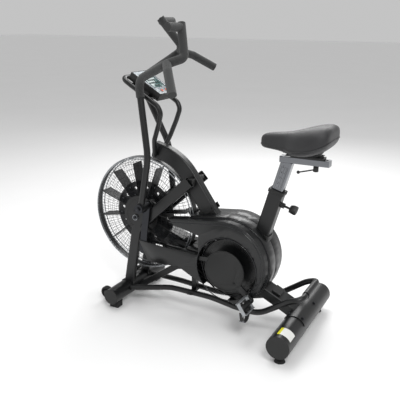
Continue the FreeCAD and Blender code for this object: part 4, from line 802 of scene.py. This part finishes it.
class AIRBIKE_OT_pedals(bpy.types.Operator):
    """Pedal bodies, toothed cage plates, straps and buckles"""
    bl_idname = "airbike.pedals"
    bl_label = "Pedals"

    def execute(self, context):
        for side, sign in (("left", 1), ("right", -1)):
            angle = radians(222 if sign > 0 else 42)
            self.pedal(side, sign, about(CRANK, CRANK_LENGTH, angle, 0))
        return {"FINISHED"}

    def pedal(self, side, sign, centre):
        """One pedal from its inner end at y0 to its outer end at y1."""
        y0, y1 = 0.124, 0.212
        body = [self.bar(0, 0.0105, y0 + 0.002, y1 - 0.002, 0.0105)]
        body += [self.bar(0, 0.029, y - 0.0035, y + 0.0035, 0.006) for y in (y0 + 0.027, y1 - 0.027)]
        cage = [self.bar(x, 0.0015, y0, y1, 0.0115, 0.0008) for x in (-0.0295, 0.0295)]
        cage += [self.bar(0, 0.0305, y - 0.0015, y + 0.0015, 0.0085, 0.0008)
                 for y in (y0 + 0.0015, y1 - 0.0015)]
        teeth = [(x, y0 + 0.006 + 0.0095 * i, 0.0125 * s)
                 for x in (-0.0295, 0.0295) for i in range(9) for s in (1, -1)]
        host = dots(teeth, size=[(0.003, 0.004, 0.004)] * len(teeth))
        cage.append(grown(bar_tree(), host, Angle=0.0, Material=finishes()["steel"]))
        core, plates = merged(body), merged(cage)
        tilt = Matrix.Translation(centre) @ Matrix.Rotation(PEDAL_TILT, 4, "Y")
        for mesh in (core, plates):
            mesh.transform(Matrix.Scale(sign, 4, (0, 1, 0)))
            mesh.transform(tilt)
            faced_out(mesh)
        name, mid = side + "_pedal", (y0 + y1) / 2
        piece(side + "_pedal_core", core, "plastic", name, (name,))
        piece(side + "_pedal_cage", plates, "silver", name)
        piece(side + "_toe_strap", self.strap(sign, centre, mid), "strap", name)
        low = centre + Vector((0, sign * (mid + 0.022), -0.067))
        loop = [low + Vector(step) for step in ((-0.013, -0.009, -0.002), (0.013, -0.009, -0.002),
                                                (0.013, 0.009, 0.006), (-0.013, 0.009, 0.006))]
        buckle = swept([loop], 0.0016, closed=True, smooth=False)
        piece(side + "_strap_buckle", buckle, "chrome", name)

    def bar(self, x, half_x, y0, y1, half_z, round_by=0.002):
        """Rounded bar along Y in the pedal's own frame."""
        outline = [(x - half_x, -half_z), (x + half_x, -half_z), (x + half_x, half_z), (x - half_x, half_z)]
        return flat_plate(outline, y1 - y0, min(round_by, half_x * 0.6), (), (y0 + y1) / 2)

    def strap(self, sign, centre, mid):
        """Band from one side of the cage round below it, 20 mm wide and slightly waisted."""
        rings = []
        for i in range(29):
            a = pi + pi * i / 28
            wave = 0.0012 * sin(5 * a)
            half = 0.010 - 0.0015 * sin(a) ** 2
            (y0, z0), (y1, z1) = [(mid + r * cos(a), -0.017 + (r + 0.021) * sin(a))
                                  for r in (0.0395 + wave, 0.0375 + wave)]
            corners = ((-half, y0, z0), (half, y0, z0), (half, y1, z1), (-half, y1, z1))
            rings.append([Vector((centre.x + x, sign * y, centre.z + z)) for x, y, z in corners])
        return lofted(rings)


class AIRBIKE_OT_arms(bpy.types.Operator):
    """Handle arms, foam grips and shafts with their bolts"""
    bl_idname = "airbike.arms"
    bl_label = "Handle Arms"

    def execute(self, context):
        coat(("left_arm", "right_arm"), "frame")
        coat(("left_foam", "right_foam"), "foam")
        coat(("left_arm_shaft", "right_arm_shaft"), "bolt")
        for side, sign in (("left", 1), ("right", -1)):
            low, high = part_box(side + "_arm_shaft")
            point = bike(398, 0, 518) + Vector((0, high.y if sign > 0 else low.y, 0))
            bolts(side + "_pivot_bolt", side + "_arm", [(point, (0, sign, 0), 9)])
        return {"FINISHED"}


class AIRBIKE_OT_console(bpy.types.Operator):
    """Console case, printed face, display and keys"""
    bl_idname = "airbike.console"
    bl_label = "Console"

    def execute(self, context):
        softened("console_case", 2.5, "console_housing", "plastic", "frame", 3)
        softened("console_face", 0.6, "console_panel", "panel", "frame")
        coat(("console_screen",), "display")
        for side in ("start", "mode"):
            softened(side + "_button", 1.2, side + "_key", "button", side + "_button")
        spots, sizes = [], []
        for row, count in ((64, 3), (84, 5), (104, 4), (124, 5)):
            for i in range(count):
                spots.append(self.on_face(row, (i - (count - 1) / 2) * 15, 50.2))
                sizes.append((0.010, 0.0105, 0.0005))
        host = dots(spots, size=sizes)
        digits = grown(bar_tree(), host, Angle=-CONSOLE_TILT, Material=finishes()["segment"])
        piece("display_blocks", digits, "segment", "frame")
        corners = [self.on_face(u, v, 50.4) for u, v in ((50, -46), (140, -46), (140, 46), (50, 46))]
        border = swept([corners], 0.0012, closed=True, smooth=False)
        piece("display_frame", border, "ink", "frame")
        return {"FINISHED"}

    def on_face(self, u, v, n):
        """Point u mm up the console's slope, v mm to the left and n mm above its base."""
        a = CONSOLE_TILT
        return bike(360 + u * cos(a) - n * sin(a), v, 987 + u * sin(a) + n * cos(a))


class AIRBIKE_OT_seat_post(bpy.types.Operator):
    """Chrome post and rail with their printed height scale, collar, boot, knob and clamp"""
    bl_idname = "airbike.seat_post"
    bl_label = "Seat Post"

    def execute(self, context):
        coat(("seat_post", "slider_rail"), "chrome")
        coat(("saddle_bracket",), "frame")
        softened("seat_collar", 1.5, "post_collar", "plastic", "frame")
        softened("seat_boot", 1.5, "post_boot", "plastic", "frame")
        softened("seat_pin", 1.5, "pull_knob", "plastic", "height_pin")
        self.knob()
        softened("clamp_lever", 0.8, "rail_clamp", "plastic", "clamp")
        self.scale()
        return {"FINISHED"}

    def knob(self):
        """Five-lobed grip pushed over the end of the pull pin."""
        low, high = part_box("seat_pin")
        back = Vector((-cos(SEAT_LEAN), 0, -sin(SEAT_LEAN)))
        up = Vector((-sin(SEAT_LEAN), 0, cos(SEAT_LEAN)))
        tip = Vector((low.x, 0, low.z + 0.018 * cos(SEAT_LEAN))) + back * 0.004
        rings = []
        for along, radius in ((0.029, 0.010), (0.026, 0.0165), (0.020, 0.0195), (0.006, 0.0195),
                              (0.001, 0.0175), (0.0, 0.012)):
            ring = []
            for i in range(60):
                a = 2 * pi * i / 60
                grip = radius + 0.0016 * cos(5 * a)
                ring.append(tip - back * along + up * grip * sin(a) + Vector((0, grip * cos(a), 0)))
            rings.append(ring)
        mesh = lofted(rings)
        mesh.shade_smooth()
        mesh.set_sharp_from_angle(angle=radians(40))
        piece("knob_grip", mesh, "plastic", "height_pin")

    def scale(self):
        """Tick lines, ruled lines and numbers up the left face of the post."""
        # the middle of marks 0.4 mm thick: they stand 0.04 mm proud, inside the bush's clearance
        y = 18.84
        spots, sizes = [], []
        for i in range(21):
            forward, length = (-8, 0.012) if i % 5 == 0 else (-11, 0.006)
            spots.append(self.on_post(8 + 5.0 * i, forward, y))
            sizes.append((length, 0.0004, 0.0012))
        for forward in (-15, -1, 13):
            spots.append(self.on_post(58, forward, y))
            sizes.append((0.0009, 0.0004, 0.104))
        marks = [grown(bar_tree(), dots(spots, size=sizes), Angle=-SEAT_LEAN, Material=finishes()["ink"])]
        marks += [self.number(str(i + 1), self.on_post(8 + 25 * i, 6, y)) for i in range(5)]
        piece("post_scale", merged(marks), "ink", "seat_column")

    def on_post(self, s, forward, y):
        """Point s mm up the post from the collar, forward mm across it."""
        a = SEAT_LEAN
        return bike(COLLAR[0] - s * sin(a) + forward * cos(a), y, COLLAR[1] + s * cos(a) + forward * sin(a))

    def number(self, text, spot):
        """Number 14 mm high, standing on the post's left face."""
        letters = bpy.data.curves.new("digit", "FONT")
        letters.body, letters.size, letters.extrude = text, 0.014, 0.0002
        letters.align_x, letters.align_y = "CENTER", "CENTER"
        mesh = as_mesh(scratch(letters))
        face = Matrix.Rotation(pi, 4, "Z") @ Matrix.Rotation(radians(90), 4, "X")
        mesh.transform(Matrix.Translation(spot) @ Matrix.Rotation(-SEAT_LEAN, 4, "Y") @ face)
        return mesh


class AIRBIKE_OT_saddle(bpy.types.Operator):
    """Padded saddle with its sewn bead and base pan"""
    bl_idname = "airbike.saddle"
    bl_label = "Saddle"

    # distance from the nose, half width, top and bottom height, all in millimetres
    stations = [(2, 17, 877, 846), (7, 27, 888, 838), (22, 34, 896, 833), (58, 39, 901, 831), (90, 44, 905, 828),
                (116, 54, 909, 822), (142, 73, 914, 817), (172, 95, 923, 817), (206, 110, 934, 821),
                (240, 116, 943, 829), (268, 114, 948, 840), (288, 106, 948, 852), (302, 93, 943, 866),
                (311, 74, 933, 881)]

    def execute(self, context):
        cushion = subdivided(lofted([self.section(*row) for row in self.stations]), 2)
        made = piece("saddle_cushion", cushion, "vinyl", "saddle_carriage", ("saddle",))
        bead = [self.on_seam(*row) for row in self.stations]
        other = [Vector((p.x, -p.y, p.z)) for p in reversed(bead)]
        piping = swept([bead + other], context.scene.air_bike_sizes.piping, closed=True)
        piece("saddle_piping", piping, "vinyl", "saddle_carriage")
        pan = [self.pan(d, half)
               for d, half in ((92, 30), (120, 42), (160, 58), (200, 74), (235, 80), (262, 70))]
        piece("saddle_pan", subdivided(lofted(pan), 1), "plastic", "saddle_carriage")
        return {"FINISHED"}

    def section(self, d, half, top, bottom, count=28):
        """Closed section of the cushion, with a shallow groove along the middle."""
        points = []
        mid = top * 0.45 + bottom * 0.55
        for i in range(count):
            a = 2 * pi * i / count
            c, s = cos(a), sin(a)
            y = half * (abs(c) ** 0.56) * (1 if c >= 0 else -1)
            reach = (top - mid) if s >= 0 else (mid - bottom)
            z = mid + reach * (abs(s) ** 0.74) * (1 if s >= 0 else -1)
            if s > 0:
                groove = 5.0 * exp(-(y / 17.0) ** 2) * max(0.0, min(1.0, (d - 60) / 90))
                z -= groove * s
            points.append(bike(SADDLE_NOSE_X - d, y, z))
        return points

    def on_seam(self, d, half, top, bottom, level=0.30):
        """Point on the left of a section, level of the way from its waist down to its foot."""
        mid = top * 0.45 + bottom * 0.55
        across = (1 - level * level) ** 0.5
        return bike(SADDLE_NOSE_X - d, half * across ** 0.56, mid - (mid - bottom) * level ** 0.74)

    def pan(self, d, half):
        """Section of the shallow tray under the cushion."""
        base, top = 822.0 if d < 230 else 824.0, 838.0
        side = [(half, top), (half * 0.9, base + 3), (half * 0.5, base - 1)]
        return [bike(SADDLE_NOSE_X - d, y, z) for y, z in [(-y, z) for y, z in side] + side[::-1]]


class AIRBIKE_OT_ground(bpy.types.Operator):
    """End caps, feet, transport wheels and the blank label"""
    bl_idname = "airbike.ground"
    bl_label = "Feet And Caps"

    def execute(self, context):
        coat(("end_caps",), "plastic")
        softened("front_feet", 2.0, "front_rubber_feet", "rubber", "frame")
        for side in ("left", "right"):
            coat((side + "_foot", side + "_wheel"), "rubber")
        self.label()
        return {"FINISHED"}

    def label(self):
        """Blank film label on the rear stabiliser, with a coloured strip at one end."""
        low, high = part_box("rear_stabiliser")
        centre, radius = (low + high) / 2, (high.z - low.z) / 2 + 0.0003
        for name, first, last, finish in (("label_film", 88, 150, "paper"), ("label_strip", 74, 88, "yellow")):
            rings = []
            for y in (0.205, 0.262):
                arc = [radians(first + (last - first) * i / 12) for i in range(13)]
                rings.append([about(centre, radius + 0.0004, a, y) for a in arc]
                             + [about(centre, radius, a, y) for a in reversed(arc)])
            piece(name, lofted(rings), finish, "frame")


class AIRBIKE_OT_fasteners(bpy.types.Operator):
    """Bolt heads on the frame, the fan axle and the stabilisers"""
    bl_idname = "airbike.fasteners"
    bl_label = "Fasteners"

    def execute(self, context):
        spots = []
        low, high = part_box("fan_axle")
        for sign, y in ((1, high.y), (-1, low.y)):
            spots.append((Vector((FAN.x, y - sign * 0.004, FAN.z)), (0, sign, 0), 8))
        rear_low, rear_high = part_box("rear_stabiliser")
        centre, radius = (rear_low + rear_high) / 2, (rear_high.z - rear_low.z) / 2 + 0.0045
        for y in (-0.08, 0.08):
            for a in (62, 128):
                way = Vector((cos(radians(a)), 0, sin(radians(a))))
                spots.append((Vector((centre.x, y, centre.z)) + way * radius, way, 6))
        bolts("frame_bolts", "frame", spots)
        return {"FINISHED"}


class AIRBIKE_PT_panel(bpy.types.Panel):
    """Buttons for each group of pieces"""
    bl_idname = "AIRBIKE_PT_panel"
    bl_label = "Air Bike"
    bl_space_type = "VIEW_3D"
    bl_region_type = "UI"
    bl_category = "Air Bike"

    def draw(self, context):
        for operator in OPERATORS:
            self.layout.operator(operator.bl_idname)
        for group in (context.scene.air_bike_sizes, context.scene.air_bike_colours):
            for name in group.__annotations__:
                self.layout.prop(group, name)


OPERATORS = (AIRBIKE_OT_stage, AIRBIKE_OT_frame_tubes, AIRBIKE_OT_casing, AIRBIKE_OT_fan, AIRBIKE_OT_crank,
             AIRBIKE_OT_pedals, AIRBIKE_OT_arms, AIRBIKE_OT_console, AIRBIKE_OT_seat_post, AIRBIKE_OT_saddle,
             AIRBIKE_OT_ground, AIRBIKE_OT_fasteners)
CLASSES = (AirBikeSizes, AirBikeColours, *OPERATORS, AIRBIKE_PT_panel)


def register():
    for item in CLASSES:
        bpy.utils.register_class(item)
    bpy.types.Scene.air_bike_sizes = PointerProperty(type=AirBikeSizes)
    bpy.types.Scene.air_bike_colours = PointerProperty(type=AirBikeColours)


def unregister():
    del bpy.types.Scene.air_bike_colours
    del bpy.types.Scene.air_bike_sizes
    for item in reversed(CLASSES):
        bpy.utils.unregister_class(item)


def main():
    """Builds every piece in order."""
    register()
    for operator in OPERATORS:
        group, name = operator.bl_idname.split(".")
        getattr(getattr(bpy.ops, group), name)()


if __name__ == "__main__":
    main()
